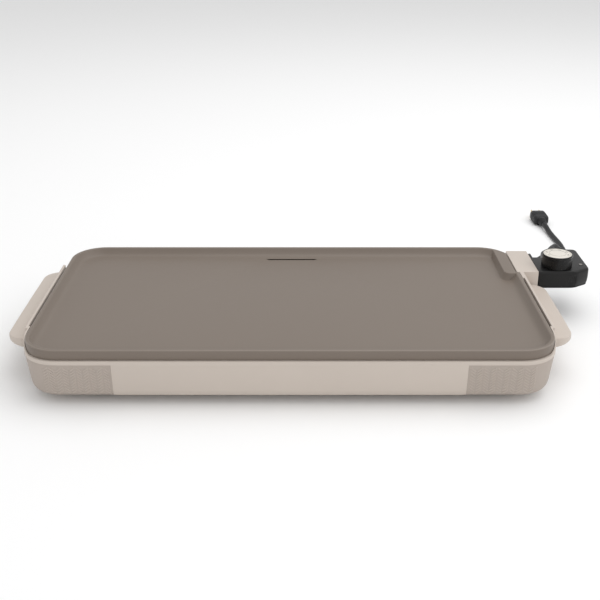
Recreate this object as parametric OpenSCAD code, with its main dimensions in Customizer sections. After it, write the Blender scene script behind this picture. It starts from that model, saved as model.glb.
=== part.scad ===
// Electric griddle with a plug-in temperature control.
// The origin is on the table under the centre of the cooking plate, +X to the control, +Z up.

/* [Cooking plate] */
// Width of the plate over its rim
plate_w = 574; // [520:1:700]
// Depth of the plate over its rim
plate_d = 313; // [290:1:380]
// Radius of the plate's corners in plan
plate_r = 40; // [30:1:50]
// Height of the plate's rim above the table
rim_z = 66; // [64:1:80]
// Thickness of the cooking floor
floor_t = 4.5; // [3.5:0.5:5]
// Depth of the cooking well below the rim
well_depth = 9; // [7:0.5:10]
// Width of the flat top of the rim
rim_flat = 4.5; // [3:0.5:8]
// Sideways run of the sloping wall inside the rim
wall_run = 7; // [4:0.5:10]
// Height of the skirt that shows outside
skirt_h = 11.5; // [11:0.5:13]
// Length of the drain slot
slot_l = 66; // [40:1:100]
// Width of the drain slot
slot_w = 9.5; // [6:0.5:12]
// Distance from the plate's back edge to the middle of the drain slot
slot_in = 20; // [19:0.5:24]
// Width of the flat shelf beside the socket, from the notch
shelf_w = 14; // [8:1:20]

/* [Heating element] */
// Diameter of the element's sheath
element_d = 7; // [6:0.5:8]
// Width of the cast ridge that holds the element
ridge_w = 12; // [11:0.5:14]
// Radius of the element's bends
bend_r = 28; // [20:1:34]
// Distance from the plate's side edge to the element's outer run
run_in = 57; // [50:1:80]
// Distance from the middle of the plate to the element's front run
front_run = 100; // [80:1:110]
// Diameter of a terminal pin
pin_d = 4.8; // [4:0.1:5]
// Distance between the two terminal pins
pin_pitch = 26; // [25:0.5:28]
// Length of a pin outside its seal
pin_l = 22; // [16:1:24]

/* [Base] */
// How far the base stands out in front of and behind the plate
ledge_proud = 3; // [2:0.5:6]
// How far the base stands out at the sides of the plate
side_proud = 5.5; // [5.5:0.5:8]
// Gap between the plate's skirt and the base
skirt_gap = 0.5; // [0.4:0.1:2]
// Wall thickness of the base
base_wall = 2.6; // [2:0.2:3.2]
// Height of the base's underside above the table
base_lift = 9; // [7:1:12]
// How far the walls lean in from the rim band to the bottom fillet
wall_lean = 3.5; // [1:0.5:5]
// Height of the plain band below the rim of the base
band_h = 6; // [4:1:8]
// Thickness of the side fences
fence_t = 3; // [2:0.5:3.5]
// Front end of the fences
fence_front = 106; // [90:1:108]
// Back end of the left fence
fence_back = 91; // [85:1:118]

/* [Handles] */
// How far a handle stands out from the side wall
handle_out = 25.5; // [16:0.5:40]
// Drop from the rim to the top of the handles
handle_drop = 15; // [13:0.5:17]
// Thickness of a handle at its outer edge
handle_t = 7.6; // [6:0.2:9]
// Thickness of a handle at the wall
handle_root_t = 13; // [11:0.5:15]
// Radius of a handle's corners in plan
handle_r = 20; // [8:1:24]
// Front end of both handles
handle_front = 96; // [80:1:104]
// Back end of the left handle
handle_back = 104; // [90:1:112]

/* [Drip tray] */
// Width of the drip tray
tray_w = 156; // [120:1:200]
// Height of the drip tray
tray_h = 25; // [18:1:27]
// Depth of the drip tray behind its face
tray_d = 50; // [42:1:60]
// Wall thickness of the drip tray
tray_wall = 1.6; // [1.2:0.2:2.4]
// Sliding clearance around the drip tray
tray_gap = 0.5; // [0.4:0.1:1]

/* [Fixings] */
// Shank diameter of the screws that hold the plate
plate_screw_d = 4; // [3:0.5:5]
// Shank diameter of the screws in the covers
cover_screw_d = 2.9; // [2.2:0.1:3]
// Diameter of a rubber foot at its top
foot_d = 23; // [16:1:26]
// Thickness of the heat shield
shield_t = 0.7; // [0.5:0.1:1.2]

/* [Temperature control] */
// Height of the control's case
case_h = 23; // [23:0.5:26]
// Length of the control's case along X
case_l = 67; // [62:1:76]
// Depth of the control's case along Y
case_d = 82.4; // [78:0.2:90]
// Wall thickness of the control's case
case_wall = 2; // [1.6:0.2:2.4]
// Depth of the neck that meets the socket
neck_d = 53; // [50:1:56]
// Diameter of the dial knob
knob_d = 38.6; // [32:0.2:40]
// Height of the dial knob
knob_h = 15.6; // [12:0.2:20]
// Width of the knob's rim round its pale disc
knob_rim = 0.9; // [0.7:0.1:3]
// Diameter of the dial's spindle
spindle_d = 6; // [5:0.2:6]
// Diameter of the probe
probe_d = 6; // [5:0.2:6]
// How far the probe reaches past the nose
probe_l = 72; // [50:1:80]
// Diameter of the pilot light's lens
lens_d = 5; // [4:0.2:6]

/* [Cord] */
// Diameter of the mains cord
cord_d = 8; // [7.8:0.1:8.2]

/* [Hidden] */

$fn = 48;
tiny = 0.01; // overlap that joins two volumes of one piece
over = 1; // how far a cut runs past the face it opens
run_fit = 0.05; // radial clearance of a sliding or turning fit
part_gap = 0.3; // gap between pieces that move apart
screw_gap = 0.2; // radial gap between a screw and its clearance hole

// Plate
half_w = plate_w / 2;
half_d = plate_d / 2;
skirt_z = rim_z - skirt_h;
floor_z = rim_z - well_depth;
under_z = floor_z - floor_t;
plug_in = 10; // the plate's lower step stands this far inside its rim
slot_y = half_d - slot_in;
step_w = plate_w - 2 * plug_in;
step_d = plate_d - 2 * plug_in;
step_r = plate_r - plug_in;
screw_skin = 3; // metal left over a screw hole
screw_slack = 0.5; // a screw ends this far below its hole
plate_boss_r = 6.5;
right_run_out = 5; // the element's right-hand run lies this far nearer its side
shelf_lap = 4; // the shelf starts this far in front of the socket cover
shelf_corner_r = 7;

// Socket: its pins, probe and cover
socket_y = 93;
pin_ys = [socket_y - pin_pitch / 2, socket_y + pin_pitch / 2];
pin_z = under_z - 3;
notch_x = half_w - 4.5;
notch_gap = 1; // gap between the plate's notch and the socket cover
cover_x0 = notch_x + notch_gap + 0.1;
cover_l = 28.2;
cover_x1 = cover_x0 + cover_l;
cover_y0 = 66;
cover_y1 = 141.5;
cover_wall = 2.5;
cover_z0 = rim_z - case_h;
cover_screw_xs = [cover_x0 + 9.5, cover_x0 + 20.5];
cover_screw_y = cover_y1 - 10;
cover_post_r = 3.4;
cover_hole_l = 12;
cover_screw_l = 11;
cover_head_h = 2;
cover_edge = 1.6; // chamfer on the cover's right-hand edge
boss_x0 = half_w - 24;
boss_x1 = half_w - 5;
boss_half = 20;
seal_l = 8;
seal_x0 = boss_x1 - 6;
pin_x1 = seal_x0 + seal_l + pin_l;
element_z = pin_z;
ridge_z0 = element_z - element_d / 2;
socket_boss_wall = 3; // metal round the probe's bore, below it
boss_z0 = pin_z - probe_d / 2 - socket_boss_wall;
probe_boss_half = 5.5;
probe_boss_end = 4; // metal past the end of the bore
bore_depth = 1; // the bore runs this far past the probe's tip

// Base
base_z1 = skirt_z - skirt_gap;
base_w = plate_w + 2 * side_proud;
base_d = plate_d + 2 * ledge_proud;
base_r = plate_r + ledge_proud;
side_x = base_w / 2;
back_y = base_d / 2;
fillet_h = 9;
fillet_in = 9;
lean_z = base_lift + fillet_h;
low_z = base_lift + 2.7; // where the bottom fillet turns
low_in = 2.7;
band_z = base_z1 - band_h;
base_floor_z = base_lift + 2.5;
lip_t = 3;
lip_gap = 2;
shield_z = under_z - 19.5;
post_r = 6;
post_xs = [half_w - 37, half_w - 177];
corner_post_y = half_d - 28.5;
posts = [
    [post_xs[0], corner_post_y], [-post_xs[0], corner_post_y],
    [post_xs[0], -corner_post_y], [-post_xs[0], -corner_post_y],
    [post_xs[1], -corner_post_y], [-post_xs[1], -corner_post_y],
];
screw_seat_z = 20;
screw_head_h = 2.6;
post_wall = 1.6; // wall left round a sunk screw head
spacer_z1 = under_z - 6;
feet_at = [for (x = [-1, 1], y = [-1, 1]) [x * (half_w - 72), y * (half_d - 38.5)]];
foot_stem_r = 3.5;
foot_taper = 1.5; // a foot is this much narrower at the table, all round
foot_barb = 1.5; // the barb stands out this far round the stem
foot_barb_h = 2;
socket_shelf_t = 4;
socket_shelf_in = 8; // the shelf under the cover reaches this far inside the wall
cover_seat_gap = 0.1;
cover_side_gap = 0.2; // gap at the ends of the socket cover
shelf_z0 = cover_z0 - socket_shelf_t;
shield_in = 25; // the heat shield ends this far inside the plate's edge
shield_r = 25;
shield_notch = 12; // gap round the drip tray in the heat shield
spacer_r = post_r - 1;
window_in = 2; // the window in the wall starts this far inside the plate's socket boss

// Drip tray
tray_y1 = back_y - 6.5;
tray_y0 = tray_y1 - tray_d;
tray_z0 = base_floor_z + 0.4;
tray_z1 = tray_z0 + tray_h;
rail_h = 8;
rail_t = 2.5;
tray_stop_w = tray_w / 2;
mouth_in = 8; // the mouth in the wall starts this far in front of the tray's face
pull_w = 40;
pull_out = 4; // the pull lip stands out this far
pull_t = 3;

// Handles and fences
handle_z1 = rim_z - handle_drop;
handle_x1 = side_x + handle_out;
fence_x0 = side_x - fence_t;
fence_ramp = 5; // the front end of a fence slopes down over this length
filler_gap = 0.4; // gap between the plate and the block in front of the socket cover
filler_l = 19;
handle_edge = 1.5; // chamfer on a handle's outer edge

// Control
case_x0 = cover_x1 + part_gap;
case_x1 = case_x0 + case_l;
case_y0 = cover_y0 + 0.6;
case_y1 = case_y0 + case_d;
case_z0 = rim_z - case_h;
split_z = case_z0 + 2.5;
neck_y1 = case_y0 + neck_d;
neck_x1 = case_x0 + 18;
flange_y1 = neck_y1 + 12.4;
flange_l = 3;
case_r = 6;
cut_x = 19.4; // the front corner is cut off this far along X
cut_y = 13; // and this far along Y
nose_l = 20;
nose_half = 21.2;
nose_z0 = split_z;
nose_z1 = split_z + 13;
nose_gap = 0.4;
nose_x0 = case_x0 - nose_l;
probe_tip_x = nose_x0 - probe_l;
dial_x = case_x0 + 26.7;
dial_y = case_y0 + 21.5;
lens_x = case_x1 - 8.5;
lens_y = case_y0 + 24.9;
cord_x = case_x0 + 51.9;
cord_z = case_z0 + 12;
boot_l = 26;
case_screw_at = [
    [case_x0 + 8.6, neck_y1 - 6.4], [case_x1 - 7.1, case_y1 - 8.8], [case_x0 + 34, case_y0 + 6.5],
];
case_boss_r = 3.2;
case_hole_l = 12;
case_screw_l = 10;
head_sink = 1.4; // depth of the sunk heads under the case
head_recess = 0.1;
recess_x = [case_x0 + 39, case_x0 + 48]; // shallow recess in the front face
recess_t = 1.2;
recess_drop = 7;
contact_start = 1; // the sleeves start this far inside the nose
sleeve_end = 6; // the sleeves end this far inside the case
tab_end = 13;
tab_half = 2;
tab_t = 0.8;
sleeve_slack = 0.6; // a pin ends this far short of its sleeve's bore
probe_root = 10; // the probe ends this far inside the case
frame_half = 9;
frame_t = 1.5;
frame_foot_t = 0.8;
frame_h = 12;
frame_gap = 0.2; // gap under the frame's foot
stack_gap = 1; // gap under the contact stack
stack_l = 8;
blade_half = 2.5;
blade_t0 = 0.5;
blade_pip_r = 2;
wire_r = 1.2;
wire_out = 2.5; // a wire runs this far to each side of the cord's middle
lens_proud = 0.6;
lens_flange = 1;
lens_flange_t = 1.2;
lens_below = 2;
lens_z0 = rim_z - case_wall - lens_below;
lamp_rise = 4; // the lamp stands this far over the lower case
lamp_gap = 0.2;
lamp_slim = 0.3;
boot_neck_r = 5.5;
boot_head_r = 7.5;
boot_head_l = 2.5;
boot_root_r = 6.8;
boot_end = 0.6; // wall of the boot round the cord at its end
contact_r = 3.1;
stack_x1 = case_x0 + 38;
wires = [
    [cord_x - wire_out, socket_y + 5, stack_x1],
    [cord_x + wire_out, pin_ys[1], case_x0 + tab_end],
];
knob_gap = 0.4; // gap between the knob and the case
knob_z0 = rim_z + knob_gap;
knob_z1 = knob_z0 + knob_h;
knob_wall = 2.2;
disc_r = knob_d / 2 - knob_rim;
disc_t = 1.2;
disc_sink = 0.9;
hub_r = 6;
knob_top_t = 3;
hub_gap = 1; // the hub ends this far over the knob's lower edge
clip_t = 1;
clip_out = 2; // the clip stands out this far round the spindle
clip_groove = 0.6;
clip_gap = 0.4; // gap between the clip and the case
spindle_end = 3; // length of spindle below the clip
spindle_top = 4; // the spindle ends this far below the knob's top
blade_drop = 3; // the blade lies this far below the spindle
clip_z = rim_z - case_wall - clip_t - clip_gap;
spindle_z0 = clip_z - spindle_end;
spindle_z1 = knob_z1 - spindle_top;
blade_z = spindle_z0 - blade_drop;

// Cord: lead from the boot to the coil, coil, and tail from the coil to the plug
cord_r = cord_d / 2;
coil_at = [200, 210];
coil_r = 42;
coil_turns = 2.5;
coil_z0 = 1;
coil_gap = 0.2; // gap between the turns of the coil
tie_t = 1;
tie_side = 1.5;
tie_w = 8;
coil_top = coil_z0 + (coil_turns + 1) * (cord_d + coil_gap);
lead_points = [
    [364, 175, 55], [364, 188, 54], [364, 200, 49.8], [363.5, 211, 42.6], [362, 220.5, 33.8],
    [358.5, 229, 24.5], [353, 236.5, 16.5], [345, 243, 10.5], [335, 247.5, 7], [323, 250.5, 5.4],
    [310, 252, 5], [296, 252, 5], [278, 252, 5], [260, 252, 5], [241, 252, 5], [222, 252, 5],
];
tail_points = [
    [222, 168, 25], [238, 168, 21], [252, 168, 15], [266, 169, 9], [281, 171, 5],
    [297, 174, 4], [313, 178, 4], [329, 184, 4], [345, 192, 4], [360, 202, 4], [374, 215, 4],
    [386, 230, 4], [396, 248, 4], [403, 267, 4], [407, 287, 4], [409, 307, 4], [410, 327, 4],
    [410, 345, 4], [409, 362, 4], [408, 379, 4], [407, 395, 5], [406, 408, 7], [405, 420, 8],
];
plug_at = [405, 420, 8];
plug_w = 25;
plug_t = 16;
plug_l = 34;
plug_neck_l = 14;
plug_neck_r = 7;
plug_corner_r = 5;
blade_l = 17.5;
blade_pitch = 12.7;
blade_w = 6.4;
blade_t = 1.5;

// Colours
plate_colour = "#82786d";
base_colour = "#c3b9ae";
black_colour = "#2a2928";
steel_colour = "#b9b9b6";
brass_colour = "#c8a957";
ceramic_colour = "#e8e4da";

// ---------- shared shapes ----------

// A rectangle with round corners, centred, made from exact pieces
module round_rect(w, d, r) {
    square([w - 2 * r, d], center = true);
    square([w, d - 2 * r], center = true);
    for (x = [-1, 1], y = [-1, 1])
        translate([x * (w / 2 - r), y * (d / 2 - r)])
            circle(r);
}

module round_slab(w, d, r, z0, z1) {
    translate([0, 0, z0])
        linear_extrude(z1 - z0)
            round_rect(w, d, r);
}

module block(low, high) {
    translate(low)
        cube(high - low);
}

module post(at, r, z0, z1) {
    translate([at[0], at[1], z0])
        cylinder(h = z1 - z0, r = r);
}

module rod_x(x0, x1, y, z, r) {
    translate([x0, y, z])
        rotate([0, 90, 0])
            cylinder(h = x1 - x0, r = r);
}

module rod_y(x, y0, y1, z, r0, r1) {
    translate([x, y0, z])
        rotate([-90, 0, 0])
            cylinder(h = y1 - y0, r1 = r0, r2 = r1);
}

// ---------- plate ----------

module well(grow) {
    well_w = plate_w - 2 * rim_flat;
    well_d = plate_d - 2 * rim_flat;
    hull() {
        round_slab(well_w, well_d, plate_r - rim_flat, rim_z, rim_z + grow);
        round_slab(well_w - 2 * wall_run, well_d - 2 * wall_run,
            plate_r - rim_flat - wall_run, floor_z, floor_z + tiny);
    }
}

// Carries a profile in (across, height) along the element's path
module along_element() {
    x_in = -half_w + run_in;
    x_out = half_w - run_in + right_run_out;
    y_back = pin_ys[1];
    y_front = -front_run;
    straight([seal_x0, y_back], 180, seal_x0 - x_in - bend_r) children();
    bend([x_in + bend_r, y_back - bend_r], 90) children();
    straight([x_in, y_back - bend_r], 270, y_back - y_front - 2 * bend_r) children();
    bend([x_in + bend_r, y_front + bend_r], 180) children();
    straight([x_in + bend_r, y_front], 0, x_out - x_in - 2 * bend_r) children();
    bend([x_out - bend_r, y_front + bend_r], 270) children();
    straight([x_out, y_front + bend_r], 90, pin_ys[0] - y_front - 2 * bend_r) children();
    bend([x_out + bend_r, pin_ys[0] - bend_r], 90) children();
    straight([x_out + bend_r, pin_ys[0]], 0, seal_x0 - x_out - bend_r) children();
}

module straight(from, heading, length) {
    translate([from[0], from[1], 0])
        rotate([0, 0, heading])
            rotate([90, 0, 90])
                linear_extrude(length)
                    children();
}

module bend(centre, start) {
    translate([centre[0], centre[1], 0])
        rotate([0, 0, start])
            rotate_extrude(angle = 90)
                translate([bend_r, 0])
                    children();
}

module cooking_plate() {
    color(plate_colour)
        difference() {
            union() {
                difference() {
                    union() {
                        round_slab(plate_w, plate_d, plate_r, skirt_z, rim_z);
                        round_slab(step_w, step_d, step_r, under_z, skirt_z + tiny);
                    }
                    well(over);
                }
                shelf();
                under_side();
            }
            block([notch_x, cover_y0 - notch_gap, under_z - over],
                [half_w + over, cover_y1 + notch_gap, rim_z + over]);
            drain_slot();
            for (at = posts)
                post(at, plate_screw_d / 2, spacer_z1 - tiny, floor_z - screw_skin);
            rod_x(probe_tip_x - bore_depth, boss_x1 + over, socket_y, pin_z, probe_d / 2 + run_fit);
            for (y = pin_ys)
                rod_x(seal_x0 - tiny, boss_x1 + over, y, pin_z, element_d / 2);
            along_element()
                element_groove();
        }
}

// Flat corner of the plate beside the socket, level with the rim
module shelf() {
    shelf_x0 = notch_x - shelf_w;
    shelf_y0 = cover_y0 - shelf_lap;
    intersection() {
        union() {
            block([shelf_x0 + shelf_corner_r, shelf_y0, under_z], [half_w, half_d, rim_z]);
            block([shelf_x0, shelf_y0 + shelf_corner_r, under_z], [half_w, half_d, rim_z]);
            post([shelf_x0 + shelf_corner_r, shelf_y0 + shelf_corner_r], shelf_corner_r, under_z, rim_z);
        }
        union() {
            round_slab(plate_w, plate_d, plate_r, skirt_z, rim_z);
            round_slab(step_w, step_d, step_r, under_z, skirt_z + tiny);
        }
    }
}

module under_side() {
    for (at = posts)
        post(at, plate_boss_r, spacer_z1, under_z + tiny);
    block([boss_x0, socket_y - boss_half, boss_z0], [boss_x1, socket_y + boss_half, skirt_z]);
    block([probe_tip_x - bore_depth - probe_boss_end, socket_y - probe_boss_half, boss_z0],
        [boss_x0 + tiny, socket_y + probe_boss_half, under_z + tiny]);
    intersection() {
        along_element()
            translate([-ridge_w / 2, ridge_z0])
                square([ridge_w, under_z - ridge_z0 + tiny]);
        block([-half_w, -half_d, 0], [boss_x0 + tiny, half_d, rim_z]);
    }
}

module element_groove() {
    translate([0, element_z])
        circle(element_d / 2);
    translate([-element_d / 2, ridge_z0 - over])
        square([element_d, over + element_d / 2]);
}

module drain_slot() {
    half_run = (slot_l - slot_w) / 2;
    for (x = [-half_run, half_run])
        post([x, slot_y], slot_w / 2, under_z - over, rim_z);
    block([-half_run, slot_y - slot_w / 2, under_z - over], [half_run, slot_y + slot_w / 2, rim_z]);
}

module heating_element() {
    color(steel_colour)
        along_element()
            translate([0, element_z])
                circle(element_d / 2);
}

module pin_seals() {
    color(ceramic_colour)
        for (y = pin_ys)
            difference() {
                rod_x(seal_x0 + tiny, seal_x0 + seal_l, y, pin_z, element_d / 2);
                rod_x(seal_x0, seal_x0 + seal_l + over, y, pin_z, pin_d / 2);
            }
}

module terminal_pins() {
    color(steel_colour)
        for (y = pin_ys)
            rod_x(seal_x0 + tiny, pin_x1, y, pin_z, pin_d / 2);
}

// ---------- base ----------

// The base's outer shape, shrunk all round and cut off at two heights
module tub(shrink, z0, z1) {
    intersection() {
        hull() {
            tub_slab(shrink, band_z, base_z1 + shrink);
            tub_slab(shrink + wall_lean, lean_z, lean_z + tiny);
            tub_slab(shrink + wall_lean + low_in, low_z, low_z + tiny);
            tub_slab(shrink + wall_lean + fillet_in, base_lift, base_lift + tiny);
        }
        block([-base_w, -base_d, z0], [base_w, base_d, z1]);
    }
}

module tub_slab(inset, z0, z1) {
    round_slab(base_w - 2 * inset, base_d - 2 * inset, base_r - inset, z0, z1);
}

module handle(side, back) {
    depth = handle_front + back;
    plan_w = handle_out + 2 * handle_r;
    intersection() {
        translate([side * (handle_x1 - plan_w / 2), (back - handle_front) / 2, 0])
            linear_extrude(rim_z)
                round_rect(plan_w, depth, handle_r);
        rotate([90, 0, 0])
            linear_extrude(2 * base_d, center = true)
                polygon([
                    [side * fence_x0, handle_z1], [side * (handle_x1 - handle_edge), handle_z1],
                    [side * handle_x1, handle_z1 - handle_edge],
                    [side * handle_x1, handle_z1 - handle_t + handle_edge],
                    [side * (handle_x1 - handle_edge), handle_z1 - handle_t],
                    [side * side_x, handle_z1 - handle_root_t], [side * fence_x0, handle_z1 - handle_root_t],
                ]);
    }
}

module fence(x0, y1) {
    translate([x0, 0, 0])
        rotate([90, 0, 90])
            linear_extrude(fence_t)
                polygon([
                    [-fence_front - fence_ramp, base_z1 - band_h], [-fence_front - fence_ramp, base_z1],
                    [-fence_front, rim_z], [y1, rim_z], [y1, base_z1 - band_h],
                ]);
}

module base_housing() {
    color(base_colour)
        difference() {
            union() {
                difference() {
                    tub(0, base_lift, base_z1);
                    tub(base_wall, base_floor_z, base_z1 - lip_t);
                    round_slab(step_w + 2 * lip_gap, step_d + 2 * lip_gap, step_r + lip_gap,
                        base_z1 - lip_t - tiny, base_z1 + over);
                }
                handle(-1, handle_back);
                handle(1, cover_y0 - shelf_lap);
                fence(-side_x, fence_back);
                fence(fence_x0, cover_y0 - cover_side_gap);
                block([half_w + filler_gap, cover_y0 - filler_l, base_z1 - tiny],
                    [side_x - tiny, cover_y0 - cover_side_gap, rim_z]);
                for (at = posts)
                    post(at, post_r, base_floor_z - tiny, shield_z);
                tray_guides();
                socket_shelf();
            }
            for (at = posts) {
                post(at, plate_screw_d / 2 + screw_gap, base_lift - over, shield_z + over);
                post(at, post_r - post_wall, base_lift - over, screw_seat_z);
            }
            for (at = feet_at)
                post(at, foot_stem_r, base_lift - over, base_floor_z + over);
            for (x = cover_screw_xs)
                post([x, cover_screw_y], cover_screw_d / 2 + screw_gap, shelf_z0 - over, cover_z0 + over);
            socket_window();
            tray_mouth(tray_gap);
        }
}

module tray_mouth(gap) {
    block([-tray_w / 2 - gap, tray_y1 - mouth_in, base_floor_z + tiny],
        [tray_w / 2 + gap, back_y + over, tray_z1 + gap]);
}

module tray_guides() {
    for (side = [-1, 1]) {
        inner = side * (tray_w / 2 + tray_gap);
        outer = inner + side * rail_t;
        block([min(inner, outer), tray_y0, base_floor_z - tiny],
            [max(inner, outer), tray_y1, base_floor_z + rail_h]);
    }
    block([-tray_stop_w / 2, tray_y0 - tray_gap - rail_t, base_floor_z - tiny],
        [tray_stop_w / 2, tray_y0 - tray_gap, base_floor_z + rail_h]);
}

module socket_shelf() {
    block([side_x - socket_shelf_in, cover_y0, shelf_z0], [cover_x1, cover_y1, cover_z0 - cover_seat_gap]);
}

module socket_window() {
    block([boss_x0 - window_in, cover_y0 - cover_side_gap, cover_z0 - cover_seat_gap],
        [side_x + over, cover_y1 + cover_side_gap, rim_z]);
}

module heat_shield() {
    shield_w = plate_w - 2 * shield_in;
    shield_d = plate_d - 2 * shield_in;
    color(steel_colour)
        difference() {
            round_slab(shield_w, shield_d, shield_r, shield_z, shield_z + shield_t);
            block([-tray_w / 2 - shield_notch, tray_y0 - shield_notch, shield_z - over],
                [tray_w / 2 + shield_notch, half_d, shield_z + over + shield_t]);
            for (at = posts)
                post(at, plate_screw_d / 2 + screw_gap, shield_z - over, shield_z + shield_t + over);
        }
}

module plate_spacers() {
    color(steel_colour)
        for (at = posts)
            difference() {
                post(at, spacer_r, shield_z + shield_t, spacer_z1);
                post(at, plate_screw_d / 2 + screw_gap, shield_z, spacer_z1 + over);
            }
}

module plate_screws() {
    color(steel_colour)
        for (at = posts) {
            post(at, plate_screw_d, screw_seat_z - screw_head_h, screw_seat_z);
            post(at, plate_screw_d / 2, screw_seat_z - tiny, floor_z - screw_skin - screw_slack);
        }
}

module rubber_feet() {
    color("#2c2b2a")
        for (at = feet_at) {
            translate([at[0], at[1], 0])
                cylinder(h = base_lift, r1 = foot_d / 2 - foot_taper, r2 = foot_d / 2);
            post(at, foot_stem_r, base_lift - tiny, base_floor_z + tiny);
            post(at, foot_stem_r + foot_barb, base_floor_z, base_floor_z + foot_barb_h);
        }
}

// ---------- socket cover ----------

module socket_cover() {
    color("#cac1b8")
        difference() {
            union() {
                difference() {
                    translate([0, cover_y1, 0])
                        rotate([90, 0, 0])
                            linear_extrude(cover_y1 - cover_y0)
                                polygon([
                                    [cover_x0, cover_z0], [cover_x0, rim_z], [cover_x1 - cover_edge, rim_z],
                                    [cover_x1, rim_z - cover_edge], [cover_x1, cover_z0],
                                ]);
                    block([cover_x0 - over, cover_y0 + cover_wall, cover_z0 - over],
                        [cover_x1 - cover_wall, cover_y1 - cover_wall, rim_z - cover_wall]);
                }
                for (x = cover_screw_xs)
                    post([x, cover_screw_y], cover_post_r, cover_z0, rim_z - cover_wall + tiny);
            }
            for (x = cover_screw_xs)
                post([x, cover_screw_y], cover_screw_d / 2, cover_z0 - tiny, cover_z0 + cover_hole_l);
            block([cover_x1 - cover_wall - over, socket_y - nose_half - nose_gap, cover_z0 - over],
                [cover_x1 + over, socket_y + nose_half + nose_gap, nose_z1 + nose_gap]);
        }
}

module socket_screws() {
    color(steel_colour)
        for (x = cover_screw_xs) {
            post([x, cover_screw_y], cover_screw_d, shelf_z0 - cover_head_h, shelf_z0);
            post([x, cover_screw_y], cover_screw_d / 2, shelf_z0 - tiny, cover_z0 + cover_screw_l);
        }
}

// ---------- drip tray ----------

module drip_tray() {
    face_y0 = tray_y1;
    color("#8b857d")
        union() {
            difference() {
                block([-tray_w / 2, tray_y0, tray_z0], [tray_w / 2, face_y0 + tiny, tray_z1]);
                block([-tray_w / 2 + tray_wall, tray_y0 + tray_wall, tray_z0 + tray_wall],
                    [tray_w / 2 - tray_wall, face_y0, tray_z1 + over]);
            }
            intersection() {
                block([-tray_w / 2, face_y0, tray_z0], [tray_w / 2, back_y, tray_z1]);
                tub(0, base_lift, base_z1);
            }
            block([-pull_w / 2, face_y0, tray_z1 - pull_t], [pull_w / 2, back_y + pull_out, tray_z1]);
        }
}

// ---------- temperature control ----------

// The case in plan, shrunk by inset all round
module case_plan(inset) {
    main_l = case_x1 - neck_x1;
    difference() {
        union() {
            translate([neck_x1 + main_l / 2, (case_y0 + case_y1) / 2])
                round_rect(main_l - 2 * inset, case_d - 2 * inset, case_r - inset);
            translate([case_x0 + inset, case_y0 + inset])
                square([neck_x1 - case_x0 + case_r, neck_d - 2 * inset]);
        }
        corner_cut(inset * norm([cut_x, cut_y]) / cut_x);
    }
}

// What the slanting front corner takes off, moved in by shift
module corner_cut(shift) {
    low_y = case_y0 - 2 * cut_y;
    polygon([
        [case_x1 - 2 * cut_x, case_y0 - cut_y + shift],
        [case_x1 + cut_x, case_y0 + 2 * cut_y + shift],
        [case_x1 + cut_x, low_y],
        [case_x1 - 2 * cut_x, low_y],
    ]);
}

module case_slab(inset, z0, z1) {
    translate([0, 0, z0])
        linear_extrude(z1 - z0)
            case_plan(inset);
}

module upper_case() {
    color(black_colour)
        difference() {
            union() {
                difference() {
                    case_slab(0, split_z, rim_z);
                    case_slab(case_wall, split_z - over, rim_z - case_wall);
                }
                for (at = case_screw_at)
                    post(at, case_boss_r, split_z, rim_z - case_wall + tiny);
                block([case_x0, neck_y1 - tiny, split_z], [case_x0 + flange_l, flange_y1, rim_z]);
                block([nose_x0, socket_y - nose_half, nose_z0],
                    [case_x0 + tiny, socket_y + nose_half, nose_z1]);
            }
            for (at = case_screw_at)
                post(at, cover_screw_d / 2, split_z - over, split_z + case_hole_l);
            for (y = pin_ys)
                rod_x(nose_x0 - over, case_x0 + case_wall + over, y, pin_z, contact_r);
            rod_x(nose_x0 - over, case_x0 + case_wall + over, socket_y, pin_z, probe_d / 2);
            post([dial_x, dial_y], spindle_d / 2 + run_fit, clip_z, rim_z + over);
            post([lens_x, lens_y], lens_d / 2, clip_z, rim_z + over);
            rod_y(cord_x, case_y1 - case_wall - over, case_y1 + over, cord_z, boot_neck_r, boot_neck_r);
            block([recess_x[0], case_y0 - over, split_z - over],
                [recess_x[1], case_y0 + recess_t, rim_z - recess_drop]);
        }
}

module lower_case() {
    color(black_colour)
        difference() {
            case_slab(0, case_z0, split_z);
            for (at = case_screw_at) {
                post(at, cover_screw_d / 2 + screw_gap, case_z0 - over, split_z + over);
                post(at, cover_screw_d + screw_gap, case_z0 - over, case_z0 + head_sink);
            }
        }
}

module case_screws() {
    color(steel_colour)
        for (at = case_screw_at) {
            post(at, cover_screw_d, case_z0 + head_recess, case_z0 + head_sink);
            post(at, cover_screw_d / 2, case_z0 + head_sink - tiny, split_z + case_screw_l);
        }
}

module probe_rod() {
    color(steel_colour)
        union() {
            rod_x(probe_tip_x + probe_d / 2, case_x0 + probe_root, socket_y, pin_z, probe_d / 2);
            translate([probe_tip_x + probe_d / 2, socket_y, pin_z])
                sphere(probe_d / 2);
        }
}

module socket_contacts() {
    color(brass_colour)
        for (y = pin_ys)
            difference() {
                union() {
                    rod_x(nose_x0 + contact_start, case_x0 + sleeve_end, y, pin_z, contact_r);
                    block([case_x0 + sleeve_end - tiny, y - tab_half, pin_z - tab_t / 2],
                        [case_x0 + tab_end, y + tab_half, pin_z + tab_t / 2]);
                }
                rod_x(nose_x0, pin_x1 + sleeve_slack, y, pin_z, pin_d / 2 + run_fit);
            }
}

module thermostat_frame() {
    foot_z = split_z + frame_gap;
    wall_x = case_x0 + sleeve_end;
    color(steel_colour)
        difference() {
            union() {
                block([wall_x, socket_y - frame_half, foot_z],
                    [wall_x + frame_t, socket_y + frame_half, foot_z + frame_h]);
                block([wall_x, socket_y - frame_half, foot_z],
                    [stack_x1, socket_y + frame_half, foot_z + frame_foot_t]);
            }
            rod_x(wall_x - over, wall_x + over + frame_t, socket_y, pin_z, probe_d / 2);
        }
}

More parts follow.
